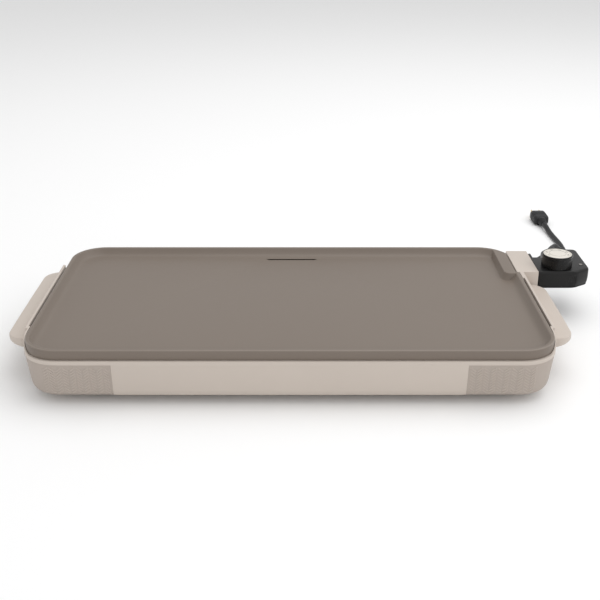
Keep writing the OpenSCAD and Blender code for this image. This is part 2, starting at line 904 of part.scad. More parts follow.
module contact_stack() {
    color(ceramic_colour)
        block([stack_x1 - stack_l, socket_y - frame_half, split_z + stack_gap],
            [stack_x1, socket_y + frame_half, blade_z]);
}

module contact_blade() {
    color(brass_colour)
        union() {
            block([case_x0 + probe_root, dial_y - blade_half, blade_z],
                [stack_x1, dial_y + blade_half, blade_z + blade_t0]);
            post([dial_x, dial_y], blade_pip_r, blade_z, spindle_z0 - part_gap);
        }
}

module lead_wires() {
    inner_y = case_y1 - case_wall - boot_head_l;
    color("#8a4a3a")
        for (wire = wires) {
            rod_y(wire[0], wire[1], inner_y, pin_z, wire_r, wire_r);
            rod_x(wire[2], wire[0], wire[1], pin_z, wire_r);
            translate([wire[0], wire[1], pin_z])
                sphere(wire_r);
        }
}

module pilot_lens() {
    color("#d9d4cc")
        union() {
            post([lens_x, lens_y], lens_d / 2, lens_z0, rim_z + lens_proud);
            post([lens_x, lens_y], lens_d / 2 + lens_flange,
                rim_z - case_wall - lens_flange_t, rim_z - case_wall);
        }
}

module pilot_lamp() {
    color("#e8a060")
        post([lens_x, lens_y], lens_d / 2 - lamp_slim, split_z + lamp_rise, lens_z0 - lamp_gap);
}

// ---------- dial ----------

module dial_knob() {
    color("#262524")
        difference() {
            union() {
                difference() {
                    post([dial_x, dial_y], knob_d / 2, knob_z0, knob_z1);
                    post([dial_x, dial_y], knob_d / 2 - knob_wall, knob_z0 - over, knob_z1 - knob_top_t);
                }
                post([dial_x, dial_y], hub_r, knob_z0 + hub_gap, knob_z1 - knob_top_t + tiny);
            }
            post([dial_x, dial_y], disc_r, knob_z1 - disc_sink, knob_z1 + over);
            post([dial_x, dial_y], spindle_d / 2, knob_z0 - over, spindle_z1);
        }
}

module dial_disc() {
    color("#dcd6ca")
        post([dial_x, dial_y], disc_r, knob_z1 - disc_sink, knob_z1 - disc_sink + disc_t);
}

module dial_spindle() {
    color(steel_colour)
        difference() {
            post([dial_x, dial_y], spindle_d / 2, spindle_z0, spindle_z1);
            difference() {
                post([dial_x, dial_y], spindle_d, clip_z, clip_z + clip_t);
                post([dial_x, dial_y], spindle_d / 2 - clip_groove, clip_z - over, clip_z + clip_t + over);
            }
        }
}

module spindle_clip() {
    color(steel_colour)
        difference() {
            post([dial_x, dial_y], spindle_d / 2 + clip_out, clip_z, clip_z + clip_t);
            post([dial_x, dial_y], spindle_d / 2 - clip_groove, clip_z - over, clip_z + clip_t + over);
        }
}

// ---------- cord ----------

function heading(points, i) =
    let (a = points[max(i - 1, 0)], b = points[min(i + 1, len(points) - 1)])
    (b - a) / norm(b - a);

function across(dir) = let (n = cross(dir, [0, 0, 1])) n / norm(n);

function ring(point, dir, r, sides) =
    let (u = across(dir), v = cross(u, dir))
    [for (k = [0 : sides - 1]) point + r * (cos(360 * k / sides) * u + sin(360 * k / sides) * v)];

// A tube of round section along a list of points, as one closed solid
module tube(points, r, sides) {
    last = len(points) - 1;
    corners = [for (i = [0 : last]) each ring(points[i], heading(points, i), r, sides)];
    skin = [
        for (i = [0 : last - 1], k = [0 : sides - 1])
            let (a = i * sides, next = (k + 1) % sides)
            each [
                [a + k, a + next, a + sides + k],
                [a + next, a + sides + next, a + sides + k],
            ]
    ];
    start = [for (k = [0 : sides - 1]) sides - 1 - k];
    end = [for (k = [0 : sides - 1]) last * sides + k];
    polyhedron(points = corners, faces = concat(skin, [start, end]), convexity = 6);
}

module cord_boot() {
    color(black_colour)
        union() {
            rod_y(cord_x, case_y1 - case_wall - boot_head_l, case_y1 - case_wall, cord_z,
                boot_head_r, boot_head_r);
            rod_y(cord_x, case_y1 - case_wall - tiny, case_y1 + tiny, cord_z, boot_neck_r, boot_neck_r);
            rod_y(cord_x, case_y1, case_y1 + boot_l, cord_z, boot_root_r, cord_r + boot_end);
        }
}

module cord_lead() {
    color("#3a3a3a")
        tube(lead_points, cord_r, 10);
}

module cord_tail() {
    color("#3a3a3a")
        tube(tail_points, cord_r, 10);
}

module cord_coil() {
    color("#3a3a3a")
        coil_ring();
}

module coil_ring() {
    translate([coil_at[0], coil_at[1], coil_z0])
        rotate_extrude()
            translate([coil_r - cord_r, 0])
                square([cord_d, coil_top - coil_z0]);
}

module cord_tie() {
    mid_x = coil_at[0] - coil_r;
    color("#1d1d1d")
        difference() {
            block([mid_x - cord_r - tie_side, coil_at[1] - tie_w / 2, coil_z0 - tie_t],
                [mid_x + cord_r + tie_side, coil_at[1] + tie_w / 2, coil_top + tie_t]);
            coil_ring();
        }
}

module plug_body() {
    color(black_colour)
        union() {
            rod_y(plug_at[0], plug_at[1], plug_at[1] + plug_neck_l + tiny, plug_at[2],
                cord_r + boot_end, plug_neck_r);
            translate([plug_at[0], plug_at[1] + plug_neck_l + plug_l, plug_at[2]])
                rotate([90, 0, 0])
                    linear_extrude(plug_l)
                        round_rect(plug_w, plug_t, plug_corner_r);
        }
}

module plug_blades() {
    blade_y0 = plug_at[1] + plug_neck_l + plug_l;
    color(brass_colour)
        for (side = [-1, 1]) {
            x = plug_at[0] + side * blade_pitch / 2;
            block([x - blade_t / 2, blade_y0, plug_at[2] - blade_w / 2],
                [x + blade_t / 2, blade_y0 + blade_l, plug_at[2] + blade_w / 2]);
        }
}

cooking_plate();
heating_element();
pin_seals();
terminal_pins();
base_housing();
heat_shield();
plate_spacers();
plate_screws();
rubber_feet();
socket_cover();
socket_screws();
drip_tray();
upper_case();
lower_case();
case_screws();
probe_rod();
socket_contacts();
thermostat_frame();
contact_stack();
contact_blade();
lead_wires();
pilot_lens();
pilot_lamp();
dial_knob();
dial_disc();
dial_spindle();
spindle_clip();
cord_boot();
cord_lead();
cord_coil();
cord_tie();
cord_tail();
plug_body();
plug_blades();
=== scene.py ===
import math

import bmesh
import bpy
from mathutils import Matrix, Vector


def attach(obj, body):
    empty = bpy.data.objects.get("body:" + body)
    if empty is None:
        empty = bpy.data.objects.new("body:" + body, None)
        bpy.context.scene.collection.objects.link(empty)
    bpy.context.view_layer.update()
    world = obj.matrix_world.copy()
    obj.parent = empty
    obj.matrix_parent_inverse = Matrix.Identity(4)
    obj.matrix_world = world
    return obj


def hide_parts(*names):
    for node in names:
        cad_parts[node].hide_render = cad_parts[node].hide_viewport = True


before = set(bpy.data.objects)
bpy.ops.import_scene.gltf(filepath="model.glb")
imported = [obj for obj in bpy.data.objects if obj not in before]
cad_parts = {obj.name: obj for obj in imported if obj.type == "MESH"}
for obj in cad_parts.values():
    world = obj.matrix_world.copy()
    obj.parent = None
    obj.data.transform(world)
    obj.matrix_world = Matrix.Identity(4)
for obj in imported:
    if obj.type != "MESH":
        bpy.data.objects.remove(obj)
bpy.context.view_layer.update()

scene = bpy.context.scene
print("frame loaded:", len(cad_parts), "nodes")

cameraSetup = {
    "lens": 58.32,
    "sensor": 36.0,
    "place": (0.01092, -1.0706, 0.5193),
    "tilt": 66.6,
}


def show(name, data):
    made = bpy.data.objects.new(name, data)
    scene.collection.objects.link(made)
    return made


def makeCamera(setup):
    data = bpy.data.cameras.new("camera")
    data.lens = setup["lens"]
    data.sensor_width = setup["sensor"]
    data.clip_end = 60
    camera = show("camera", data)
    camera.location = setup["place"]
    camera.rotation_euler = (math.radians(setup["tilt"]), 0, 0)
    scene.camera = camera


makeCamera(cameraSetup)


class Wire:
    # one node socket, so that shader maths reads as plain arithmetic
    def __init__(self, finish, socket):
        self.finish = finish
        self.socket = socket

    def maths(self, operation, a, b):
        node = self.finish.node("ShaderNodeMath", {"operation": operation}, {0: a, 1: b})
        return Wire(self.finish, node.outputs[0])

    def __add__(self, other):
        return self.maths("ADD", self, other)

    def __radd__(self, other):
        return self.maths("ADD", other, self)

    def __sub__(self, other):
        return self.maths("SUBTRACT", self, other)

    def __rsub__(self, other):
        return self.maths("SUBTRACT", other, self)

    def __mul__(self, other):
        return self.maths("MULTIPLY", self, other)

    def __rmul__(self, other):
        return self.maths("MULTIPLY", other, self)


class Finish:
    # one procedural material on object coordinates
    def __init__(self, name):
        self.material = bpy.data.materials.new(name)
        self.material.use_nodes = True
        self.tree = self.material.node_tree
        self.tree.nodes.clear()
        self.shader = self.node("ShaderNodeBsdfPrincipled")
        output = self.node("ShaderNodeOutputMaterial")
        self.tree.links.new(self.shader.outputs[0], output.inputs[0])
        self.place = Wire(self, self.node("ShaderNodeTexCoord").outputs["Object"])

    def node(self, kind, settings=None, sockets=None):
        made = self.tree.nodes.new(kind)
        for key, value in (settings or {}).items():
            if key == "stops":
                ramp = made.color_ramp
                for stop, (where, grey) in zip(ramp.elements, value):
                    stop.position = where
                    stop.color = (grey, grey, grey, 1)
            else:
                setattr(made, key, value)
        for key, value in (sockets or {}).items():
            if isinstance(value, Wire):
                self.tree.links.new(value.socket, made.inputs[key])
            else:
                made.inputs[key].default_value = value
        return made

    def noise(self, scale, detail=2.0, rough=0.5, stretch=(1, 1, 1)):
        place = self.place
        if stretch != (1, 1, 1):
            place = Wire(self, self.node("ShaderNodeMapping", None,
                                         {"Vector": place, "Scale": stretch}).outputs[0])
        made = self.node("ShaderNodeTexNoise", None,
                         {"Vector": place, "Scale": scale, "Detail": detail, "Roughness": rough})
        return Wire(self, made.outputs[0])

    def ramp(self, value, low, high):
        made = self.node("ShaderNodeValToRGB", {"stops": [(low, 0), (high, 1)]}, {0: value})
        return Wire(self, made.outputs[0])

    def blend(self, factor, first, second):
        made = self.node("ShaderNodeMix", {"data_type": "RGBA"},
                         {0: factor, 6: (*first, 1) if isinstance(first, tuple) else first,
                          7: (*second, 1) if isinstance(second, tuple) else second})
        return Wire(self, made.outputs[2])

    def bump(self, height, strength, distance):
        made = self.node("ShaderNodeBump", None,
                         {"Height": height, "Strength": strength, "Distance": distance})
        return Wire(self, made.outputs[0])

    def surface(self, **sockets):
        for key, value in sockets.items():
            name = {"colour": "Base Color", "roughness": "Roughness", "metallic": "Metallic",
                    "normal": "Normal", "specular": "Specular IOR Level",
                    "clear": "Transmission Weight", "ior": "IOR"}[key]
            if isinstance(value, Wire):
                self.tree.links.new(value.socket, self.shader.inputs[name])
            elif isinstance(value, tuple):
                self.shader.inputs[name].default_value = (*value, 1)
            else:
                self.shader.inputs[name].default_value = value
        return self.material


def moulded(name, look):
    # fine-grained moulded plastic or a sprayed coating: cloudy tone, fine grain in the gloss and relief
    f = Finish(name)
    cloud = f.noise(look["cloudScale"], 3)
    grain = f.noise(look["grainScale"], 2, 0.6)
    wear = f.ramp(f.noise(look["cloudScale"] * 2.3, 5, 0.65), 0.45, 0.75)
    tone = f.blend(cloud, look["light"], look["dark"])
    tone = f.blend(wear * look["wear"], tone, look["worn"])
    gloss = look["roughness"] + (grain - 0.5) * look["glossSpread"] + wear * look["wear"] * 0.12
    return f.surface(colour=tone, roughness=gloss, specular=look["specular"],
                     normal=f.bump(grain, look["relief"], look["reliefDepth"]))


def metal(name, look):
    f = Finish(name)
    brush = f.noise(look["brushScale"], 3, 0.6, look["stretch"])
    stain = f.noise(look["stainScale"], 4, 0.6)
    tone = f.blend(stain, look["light"], look["dark"])
    gloss = look["roughness"] + (brush - 0.5) * look["glossSpread"] + stain * 0.08
    return f.surface(colour=tone, roughness=gloss, metallic=look["metallic"],
                     normal=f.bump(brush, look["relief"], 0.0002))


coatingLook = {
    "light": (0.192, 0.156, 0.128), "dark": (0.178, 0.144, 0.117), "worn": (0.204, 0.168, 0.140),
    "cloudScale": 5.0, "grainScale": 1500.0, "wear": 0.25, "roughness": 0.46,
    "glossSpread": 0.10, "specular": 0.42, "relief": 0.10, "reliefDepth": 0.0002,
}
bodyLook = {
    "light": (0.575, 0.508, 0.450), "dark": (0.550, 0.484, 0.428), "worn": (0.600, 0.534, 0.476),
    "cloudScale": 9.0, "grainScale": 2600.0, "wear": 0.20, "roughness": 0.50,
    "glossSpread": 0.10, "specular": 0.40, "relief": 0.12, "reliefDepth": 0.0002,
}
# painted shade: the grained wall and its raised strokes are the body plastic painted darker, standing in for
# the shade of the texture and the recessed band
shadedGrainLook = dict(bodyLook, light=(0.432, 0.374, 0.330), dark=(0.404, 0.348, 0.306),
                 worn=(0.452, 0.394, 0.350), roughness=0.62, grainScale=1300.0, relief=0.40,
                 reliefDepth=0.0004)
shadedStrokeLook = dict(shadedGrainLook, light=(0.468, 0.408, 0.362), dark=(0.440, 0.382, 0.336),
                  worn=(0.488, 0.430, 0.382), roughness=0.55)
# painted highlight for the rim's outer edge: a lighter, glossier copy of the plate coating
rimHighlightLook = dict(coatingLook, light=(0.238, 0.198, 0.166), dark=(0.220, 0.182, 0.152),
               worn=(0.262, 0.222, 0.188), roughness=0.36)
caseLook = {
    "light": (0.0105, 0.0100, 0.0098), "dark": (0.0080, 0.0077, 0.0076),
    "worn": (0.018, 0.0175, 0.017),
    "cloudScale": 30.0, "grainScale": 900.0, "wear": 0.25, "roughness": 0.34,
    "glossSpread": 0.16, "specular": 0.24, "relief": 0.30, "reliefDepth": 0.0003,
}
knobLook = dict(caseLook, light=(0.008, 0.0077, 0.0075), dark=(0.006, 0.006, 0.006), roughness=0.20,
                relief=0.06, grainScale=1800.0, glossSpread=0.06)
rubberLook = dict(caseLook, light=(0.020, 0.020, 0.021), dark=(0.016, 0.016, 0.017),
                  worn=(0.030, 0.030, 0.030), roughness=0.46, relief=0.12, cloudScale=60.0)
creamLook = {
    "light": (0.735, 0.700, 0.630), "dark": (0.700, 0.662, 0.590), "worn": (0.660, 0.610, 0.530),
    "cloudScale": 60.0, "grainScale": 2400.0, "wear": 0.15, "roughness": 0.36,
    "glossSpread": 0.08, "specular": 0.5, "relief": 0.05, "reliefDepth": 0.0002,
}
inkLook = dict(caseLook, light=(0.10, 0.085, 0.075), dark=(0.08, 0.07, 0.06), relief=0.05)
ceramicLook = dict(creamLook, light=(0.80, 0.78, 0.72), dark=(0.74, 0.71, 0.65),
                   worn=(0.70, 0.66, 0.58), roughness=0.55)
sleeveLook = dict(rubberLook, light=(0.28, 0.075, 0.045), dark=(0.23, 0.06, 0.038),
                  worn=(0.32, 0.11, 0.07))
trayLook = dict(coatingLook, light=(0.262, 0.236, 0.206), dark=(0.236, 0.212, 0.184), cloudScale=14.0)
steelLook = {
    "light": (0.66, 0.66, 0.65), "dark": (0.56, 0.56, 0.55), "brushScale": 900.0,
    "stretch": (1, 12, 12), "stainScale": 40.0, "roughness": 0.30, "glossSpread": 0.16,
    "metallic": 1.0, "relief": 0.06,
}
chromeLook = dict(steelLook, light=(0.78, 0.78, 0.78), dark=(0.70, 0.70, 0.70), roughness=0.12,
                  glossSpread=0.06)
brassLook = dict(steelLook, light=(0.76, 0.60, 0.30), dark=(0.62, 0.47, 0.22), roughness=0.26)
sheathLook = dict(steelLook, light=(0.30, 0.28, 0.26), dark=(0.20, 0.18, 0.17), roughness=0.48)


def clearPart(name, tint, rough):
    f = Finish(name)
    haze = f.noise(700.0, 2)
    return f.surface(colour=f.blend(haze, tint, tuple(c * 0.86 for c in tint)),
                     roughness=rough + haze * 0.08, clear=0.12, ior=1.49)


finishes = {
    "coating": moulded("satinCoating", coatingLook),
    "body": moulded("creamPlastic", bodyLook),
    "grain": moulded("grainedPlasticShade", shadedGrainLook),
    "stroke": moulded("raisedStrokesShade", shadedStrokeLook),
    "case": moulded("grainedBlack", caseLook),
    "knob": moulded("smoothBlack", knobLook),
    "rubber": moulded("satinRubber", rubberLook),
    "cream": moulded("dialCream", creamLook),
    "ink": moulded("dialInk", inkLook),
    "ceramic": moulded("whiteCeramic", ceramicLook),
    "sleeve": moulded("wireSleeve", sleeveLook),
    "rim": moulded("rimEdgeHighlight", rimHighlightLook),
    "tray": moulded("trayCoating", trayLook),
    "steel": metal("platedSteel", steelLook),
    "chrome": metal("brightSteel", chromeLook),
    "brass": metal("plainBrass", brassLook),
    "sheath": metal("elementSheath", sheathLook),
    "lens": clearPart("lensPlastic", (0.24, 0.215, 0.20), 0.22),
    "lamp": clearPart("lampGlass", (0.90, 0.62, 0.36), 0.08),
}
print("materials:", len(finishes))

# from here on everything is drawn in millimetres, and finishPiece scales it to metres


def newFace(bm, before):
    return [f for f in bm.faces if f not in before]


def outline(bm, width, depth, radius, height, middle=(0, 0), rounds=8, cuts=0, square=0):
    # a rounded rectangle as one loop of edges; square leaves the corners on that side in x sharp
    before, beforeEdges = set(bm.faces), set(bm.edges)
    made = bmesh.ops.create_grid(bm, x_segments=1, y_segments=1, size=0.5)["verts"]
    bmesh.ops.scale(bm, vec=(width, depth, 1), verts=made)
    bmesh.ops.translate(bm, vec=(middle[0], middle[1], height), verts=made)
    rounded = [v for v in made if (v.co.x - middle[0]) * square <= 0]
    bmesh.ops.bevel(bm, geom=rounded, offset=radius, offset_type="OFFSET", segments=rounds,
                    profile=0.5, affect="VERTICES", material=-1)
    face = newFace(bm, before)[0]
    longEdges = [e for e in face.edges if e.calc_length() > 3 * radius]
    bmesh.ops.delete(bm, geom=[face], context="FACES_ONLY")
    if cuts:
        bmesh.ops.subdivide_edges(bm, edges=longEdges, cuts=cuts)
    return [e for e in bm.edges if e not in beforeEdges]


def stack(bm, rings, startCap=True, endCap=True, **same):
    # bridges a pile of outlines, each (width, depth, radius, height)
    loops = [outline(bm, *size, **same) for size in rings]
    for low, high in zip(loops, loops[1:]):
        bmesh.ops.bridge_loops(bm, edges=low + high)
    if startCap:
        bmesh.ops.contextual_create(bm, geom=loops[0])
    if endCap:
        bmesh.ops.contextual_create(bm, geom=loops[-1])
    return loops


def slab(bm, low, high, soften=0.4, rounds=2):
    # a block between two corners with all its edges softened
    made = bmesh.ops.create_cube(bm, size=1)["verts"]
    low, high = Vector(low), Vector(high)
    bmesh.ops.scale(bm, vec=high - low, verts=made)
    bmesh.ops.translate(bm, vec=(low + high) / 2, verts=made)
    if soften:
        edges = list(dict.fromkeys(e for v in made for e in v.link_edges))
        bmesh.ops.bevel(bm, geom=edges, offset=soften, offset_type="OFFSET", segments=rounds,
                        profile=0.5, affect="EDGES", material=-1)


def blocks(corners, soften=0, rounds=2):
    bm = bmesh.new()
    for low, high in corners:
        slab(bm, low, high, soften, rounds)
    return bm


def turned(bm, profile, middle, axis="z", steps=48):
    # spins (radius, along) points round an axis through middle
    before = set(bm.verts)
    points = [bm.verts.new((r, 0, h)) for r, h in profile]
    edges = [bm.edges.new(pair) for pair in zip(points, points[1:])]
    bmesh.ops.spin(bm, geom=points + edges, cent=(0, 0, 0), axis=(0, 0, 1), dvec=(0, 0, 0),
                   angle=2 * math.pi, steps=steps, use_merge=True, use_duplicate=False)
    bmesh.ops.remove_doubles(bm, verts=[v for v in bm.verts if v not in before], dist=1e-4)
    made = [v for v in bm.verts if v not in before]
    turn = {"x": Matrix.Rotation(math.pi / 2, 3, "Y"), "y": Matrix.Rotation(-math.pi / 2, 3, "X")}
    if axis in turn:
        bmesh.ops.rotate(bm, cent=(0, 0, 0), matrix=turn[axis], verts=made)
    bmesh.ops.translate(bm, vec=middle, verts=made)


def turnedAt(bm, profile, places, steps=28):
    # the same upright turned shape at several places
    for place in places:
        turned(bm, profile, (*place, 0), "z", steps)


def rod(bm, radius, length, place, sides=32):
    bmesh.ops.create_cone(bm, cap_ends=True, segments=sides, radius1=radius, radius2=radius,
                          depth=length, matrix=place)


def turnAndMove(bm, angle, axis, move):
    bmesh.ops.rotate(bm, cent=(0, 0, 0), matrix=Matrix.Rotation(angle, 3, axis), verts=bm.verts)
    bmesh.ops.translate(bm, vec=move, verts=bm.verts)


def prism(line, half, soften):
    # an outline of (y, z) points drawn out along x, with its long edges softened
    bm = bmesh.new()
    points = [bm.verts.new((-half, y, z)) for y, z in line]
    face = bmesh.ops.contextual_create(bm, geom=points)["faces"][0]
    moved = bmesh.ops.extrude_face_region(bm, geom=[face])["geom"]
    farEnd = [v for v in moved if isinstance(v, bmesh.types.BMVert)]
    bmesh.ops.translate(bm, vec=(2 * half, 0, 0), verts=farEnd)
    ends = [e for e in bm.edges if abs(e.verts[0].co.x - e.verts[1].co.x) < 0.1]
    bmesh.ops.bevel(bm, geom=ends, offset=soften, offset_type="OFFSET", segments=2, profile=0.5,
                    affect="EDGES", material=-1)
    return bm


def meshObject(name, bm):
    mesh = bpy.data.meshes.new(name)
    bm.to_mesh(mesh)
    bm.free()
    return show(name, mesh)


def solidObject(name, bm):
    bmesh.ops.remove_doubles(bm, verts=bm.verts, dist=1e-4)
    bmesh.ops.recalc_face_normals(bm, faces=bm.faces)
    return meshObject(name, bm)


def curveMesh(name, data):
    # the mesh that a curve or a text makes
    curve = show(name, data)
    mesh = bpy.data.meshes.new_from_object(curve.evaluated_get(bpy.context.evaluated_depsgraph_get()))
    bpy.data.objects.remove(curve)
    return mesh


def combine(base, tool, operation):
    step = base.modifiers.new("combine", "BOOLEAN")
    step.operation = operation
    step.object = tool
    step.solver = "MANIFOLD"
    graph = bpy.context.evaluated_depsgraph_get()
    mesh = bpy.data.meshes.new_from_object(base.evaluated_get(graph))
    base.modifiers.clear()
    base.data = mesh
    mesh.name = base.name
    bpy.data.objects.remove(tool)
    return base


def cut(base, bm):
    return combine(base, solidObject("tool", bm), "DIFFERENCE")


def join(base, bm):
    return combine(base, solidObject("tool", bm), "UNION")


def outlineGap(shape, spot):
    # how far inside a rounded outline a point lies
    r = shape["corner"]
    x, y = abs(spot.x) - shape["width"] / 2 + r, abs(spot.y) - shape["depth"] / 2 + r
    if x > 0 and y > 0:
        return r - math.hypot(x, y)
    return r - max(x, y)


def finishPiece(made, finish, body, nodes=(), sharp=32):
    mesh = made.data
    mesh.transform(Matrix.Scale(0.001, 4))
    mesh.materials.clear()
    mesh.materials.append(finishes[finish])
    mesh.shade_smooth()
    mesh.set_sharp_from_angle(angle=math.radians(sharp))
    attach(made, body)
    if nodes:
        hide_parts(*nodes)


cordShape = {
    "diameter": 8.0,
    "coilMiddle": (200, 210), "coilRadius": 42, "coilTurns": 2.5, "coilPitch": 8.2, "coilStart": 5.0,
    "pointsPerTurn": 16,
    "lead": [(364, 175, 55), (364, 188, 54), (364, 200, 49.8), (363.5, 211, 42.6),
             (362, 220.5, 33.8), (358.5, 229, 24.5), (353, 236.5, 16.5), (345, 243, 10.5),
             (335, 247.5, 7), (323, 250.5, 5.4), (310, 252, 5), (296, 252, 5), (278, 252, 5),
             (260, 252, 5), (241, 252, 5), (222, 252, 5)],
    "tail": [(222, 168, 25), (238, 168, 21), (252, 168, 15), (266, 169, 9), (281, 171, 5),
             (297, 174, 4), (313, 178, 4), (329, 184, 4), (345, 192, 4), (360, 202, 4),
             (374, 215, 4), (386, 230, 4), (396, 248, 4), (403, 267, 4), (407, 287, 4),
             (409, 307, 4), (410, 327, 4), (410, 345, 4), (409, 362, 4), (408, 379, 4),
             (407, 395, 5), (406, 408, 7), (405, 420, 8)],
    "length": 1.28,
}


def cordRoute(shape):
    points = list(shape["lead"])
    count = round(shape["coilTurns"] * shape["pointsPerTurn"])
    for i in range(count + 1):
        turn = i / shape["pointsPerTurn"]
        angle = math.radians(90 + 360 * turn)
        points.append((shape["coilMiddle"][0] + shape["coilRadius"] * math.cos(angle),
                       shape["coilMiddle"][1] + shape["coilRadius"] * math.sin(angle),
                       shape["coilStart"] + shape["coilPitch"] * turn))
    return points + list(shape["tail"])


def makeCord(shape):
    data = bpy.data.curves.new("mainsCord", "CURVE")
    data.dimensions = "3D"
    data.bevel_depth = shape["diameter"] / 2000
    data.bevel_resolution = 5
    data.resolution_u = 6
    data.use_fill_caps = True
    route = cordRoute(shape)
    line = data.splines.new("BEZIER")
    line.bezier_points.add(len(route) - 1)
    for knot, place in zip(line.bezier_points, route):
        knot.co = Vector(place) / 1000
        knot.handle_left_type = knot.handle_right_type = "AUTO"
    made = show("mainsCord", data)
    data.materials.append(finishes["rubber"])
    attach(made, "control")
    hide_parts("cord_lead", "cord_coil", "cord_tail")
    return made


mainsCord = makeCord(cordShape)

cordSeat = cordShape["diameter"] / 2 + 0.02  # radius of the hole that the cord sits in
bootShape = {"middle": (364, 149, 55), "ribs": 5, "length": 26, "rootRadius": 6.8, "endRadius": 4.6}


def makeBoot(shape):
    bm = bmesh.new()
    long, root, end = shape["length"], shape["rootRadius"], shape["endRadius"]
    profile = [(0, -4.5), (7.5, -4.5), (7.5, -2), (5.5, -2), (5.5, 0.3), (root, 0.3), (root, 2.6)]
    pitch = (long - 5) / shape["ribs"]
    for i in range(shape["ribs"]):
        along = 3 + i * pitch
        radius = root + (end - root) * along / long
        profile += [(radius - 0.2, along), (radius - 1.0, along + 0.4), (radius - 1.0, along + 1.3),
                    (radius - 0.3, along + 1.7), (radius - 0.35, along + pitch - 0.3)]
    profile += [(end, long - 0.6), (end - 0.4, long), (cordSeat, long), (cordSeat, long - 4), (0, long - 4)]
    turned(bm, profile, shape["middle"], "y", 40)
    made = solidObject("cordBoot", bm)
    finishPiece(made, "rubber", "control", ["cord_boot"])


makeBoot(bootShape)

tieShape = {"x": (153.2, 162.8), "z": (2.2, 28.6), "y": (206, 214), "wall": 0.9}


def makeTie(shape):
    bm = bmesh.new()
    width = shape["x"][1] - shape["x"][0]
    tall = shape["z"][1] - shape["z"][0]
    wall = shape["wall"]
    long = shape["y"][1] - shape["y"][0]
    steps = [(0.2, 3.6, 0), (0, 3.8, 0.3), (0, 3.8, long - 0.3), (0.2, 3.6, long), (wall, 3.0, long),
             (wall, 3.0, 0), (0.2, 3.6, 0)]
    stack(bm, [(width - 2 * i, tall - 2 * i, r, along) for i, r, along in steps], False, False)
    turnAndMove(bm, math.pi / 2, "X", (sum(shape["x"]) / 2, shape["y"][1], sum(shape["z"]) / 2))
    slab(bm, (159.5, 205.2, 28.0), (163.2, 214.6, 30.2), 0.5)  # the head that locks the strap
    made = solidObject("cordTie", bm)
    finishPiece(made, "knob", "control", ["cord_tie"])


makeTie(tieShape)

plugShape = {
    "start": (405, 420, 8), "neck": 14, "length": 34, "width": 25, "thick": 16,
    "bladePitch": 12.7, "bladeWidth": 6.4, "bladeThick": 1.5, "bladeLength": 17.5, "holeAt": 11.5,
    "gripRibs": 4,
}


def makePlug(shape):
    x, y, z = shape["start"]
    end = y + shape["neck"] + shape["length"]
    bm = bmesh.new()
    profile = [(0, 3), (cordSeat, 3), (cordSeat, 0), (4.6, 0)]
    for i in range(3):
        along = 2.2 + i * 3.4
        radius = 4.8 + 0.17 * along
        profile += [(radius, along), (radius - 0.7, along + 0.5), (radius - 0.7, along + 1.3),
                    (radius + 0.2, along + 1.8)]
    profile += [(7, shape["neck"] - 0.5), (7, shape["neck"] + 3), (0, shape["neck"] + 3)]
    turned(bm, profile, (x, y, z), "y", 40)
    rings = []
    body = shape["length"]
    for share, inset in [(0, 4.4), (0.03, 2.6), (0.09, 1.2), (0.18, 0.3), (0.26, 0)]:
        rings.append((share * body, inset))
    for i in range(shape["gripRibs"]):
        along = 0.32 * body + i * 3.2
        rings += [(along, 0), (along + 0.5, 0.7), (along + 1.3, 0.7), (along + 1.8, 0)]
    rings += [(0.80 * body, 0), (0.955 * body, 0.2), (0.985 * body, 0.6), (body, 1.3)]
    sizes = [(shape["width"] - 2 * i, shape["thick"] - 2 * i, 5.5 - i * 0.6, a) for a, i in rings]
    grip = bmesh.new()
    stack(grip, sizes)
    turnAndMove(grip, -math.pi / 2, "X", (x, y + shape["neck"], z))
    made = join(solidObject("plugBody", grip), bm)
    finishPiece(made, "rubber", "control", ["plug_body"])

    bm = bmesh.new()
    holes = bmesh.new()
    thick, wide = shape["bladeThick"] / 2, shape["bladeWidth"] / 2
    for side in (-1, 1):
        middle = x + side * shape["bladePitch"] / 2
        slab(bm, (middle - thick, end - 3, z - wide),
             (middle + thick, end + shape["bladeLength"], z + wide), 0.45)
        place = Matrix.Translation((middle, end + shape["holeAt"], z))
        rod(holes, 1.6, 6, place @ Matrix.Rotation(math.pi / 2, 4, "Y"), 24)
    blades = cut(solidObject("plugBlades", bm), holes)
    finishPiece(blades, "brass", "control", ["plug_blades"])


makePlug(plugShape)
print("cord, boot, tie and plug made")

plateShape = {
    "width": 574.0, "depth": 313.0, "corner": 40.0, "rimTop": 66.0, "skirtBottom": 54.5,
    "floor": 57.0, "under": 52.5, "stepIn": 10.0,
    "slotLong": 66.0, "slotWide": 9.5, "slotAt": (0, 136.5),
    "notchX": 282.5, "notchY": (65, 142.5), "shelfX": 268.5, "shelfY": 62.0, "shelfCorner": 7.0,
}
elementPath = {
    "left": -230.0, "right": 235.0, "front": -100.0, "pins": (80.0, 106.0), "bend": 28.0, "end": 276.0,
    "height": 49.5,
}
probe = {"y": 93.0, "height": elementPath["height"], "tip": 219.1, "bore": 3.05}
screwPlaces = [(250, 128), (-250, 128), (250, -128), (-250, -128), (110, -128), (-110, -128)]


def insetRings(shape, steps):
    w, d, r = shape["width"], shape["depth"], shape["corner"]
    return [(w - 2 * i, d - 2 * i, r - i, z) for i, z in steps]


def pathTube(points, radius):
    # a round bar along a path, made from a bevelled curve
    data = bpy.data.curves.new("bar", "CURVE")
    data.dimensions = "3D"
    data.bevel_depth = radius
    data.bevel_resolution = 3
    data.use_fill_caps = True
    line = data.splines.new("POLY")
    line.points.add(len(points) - 1)
    for knot, place in zip(line.points, points):
        knot.co = (*place, 1)
    bm = bmesh.new()
    bm.from_mesh(curveMesh("bar", data))
    return bm


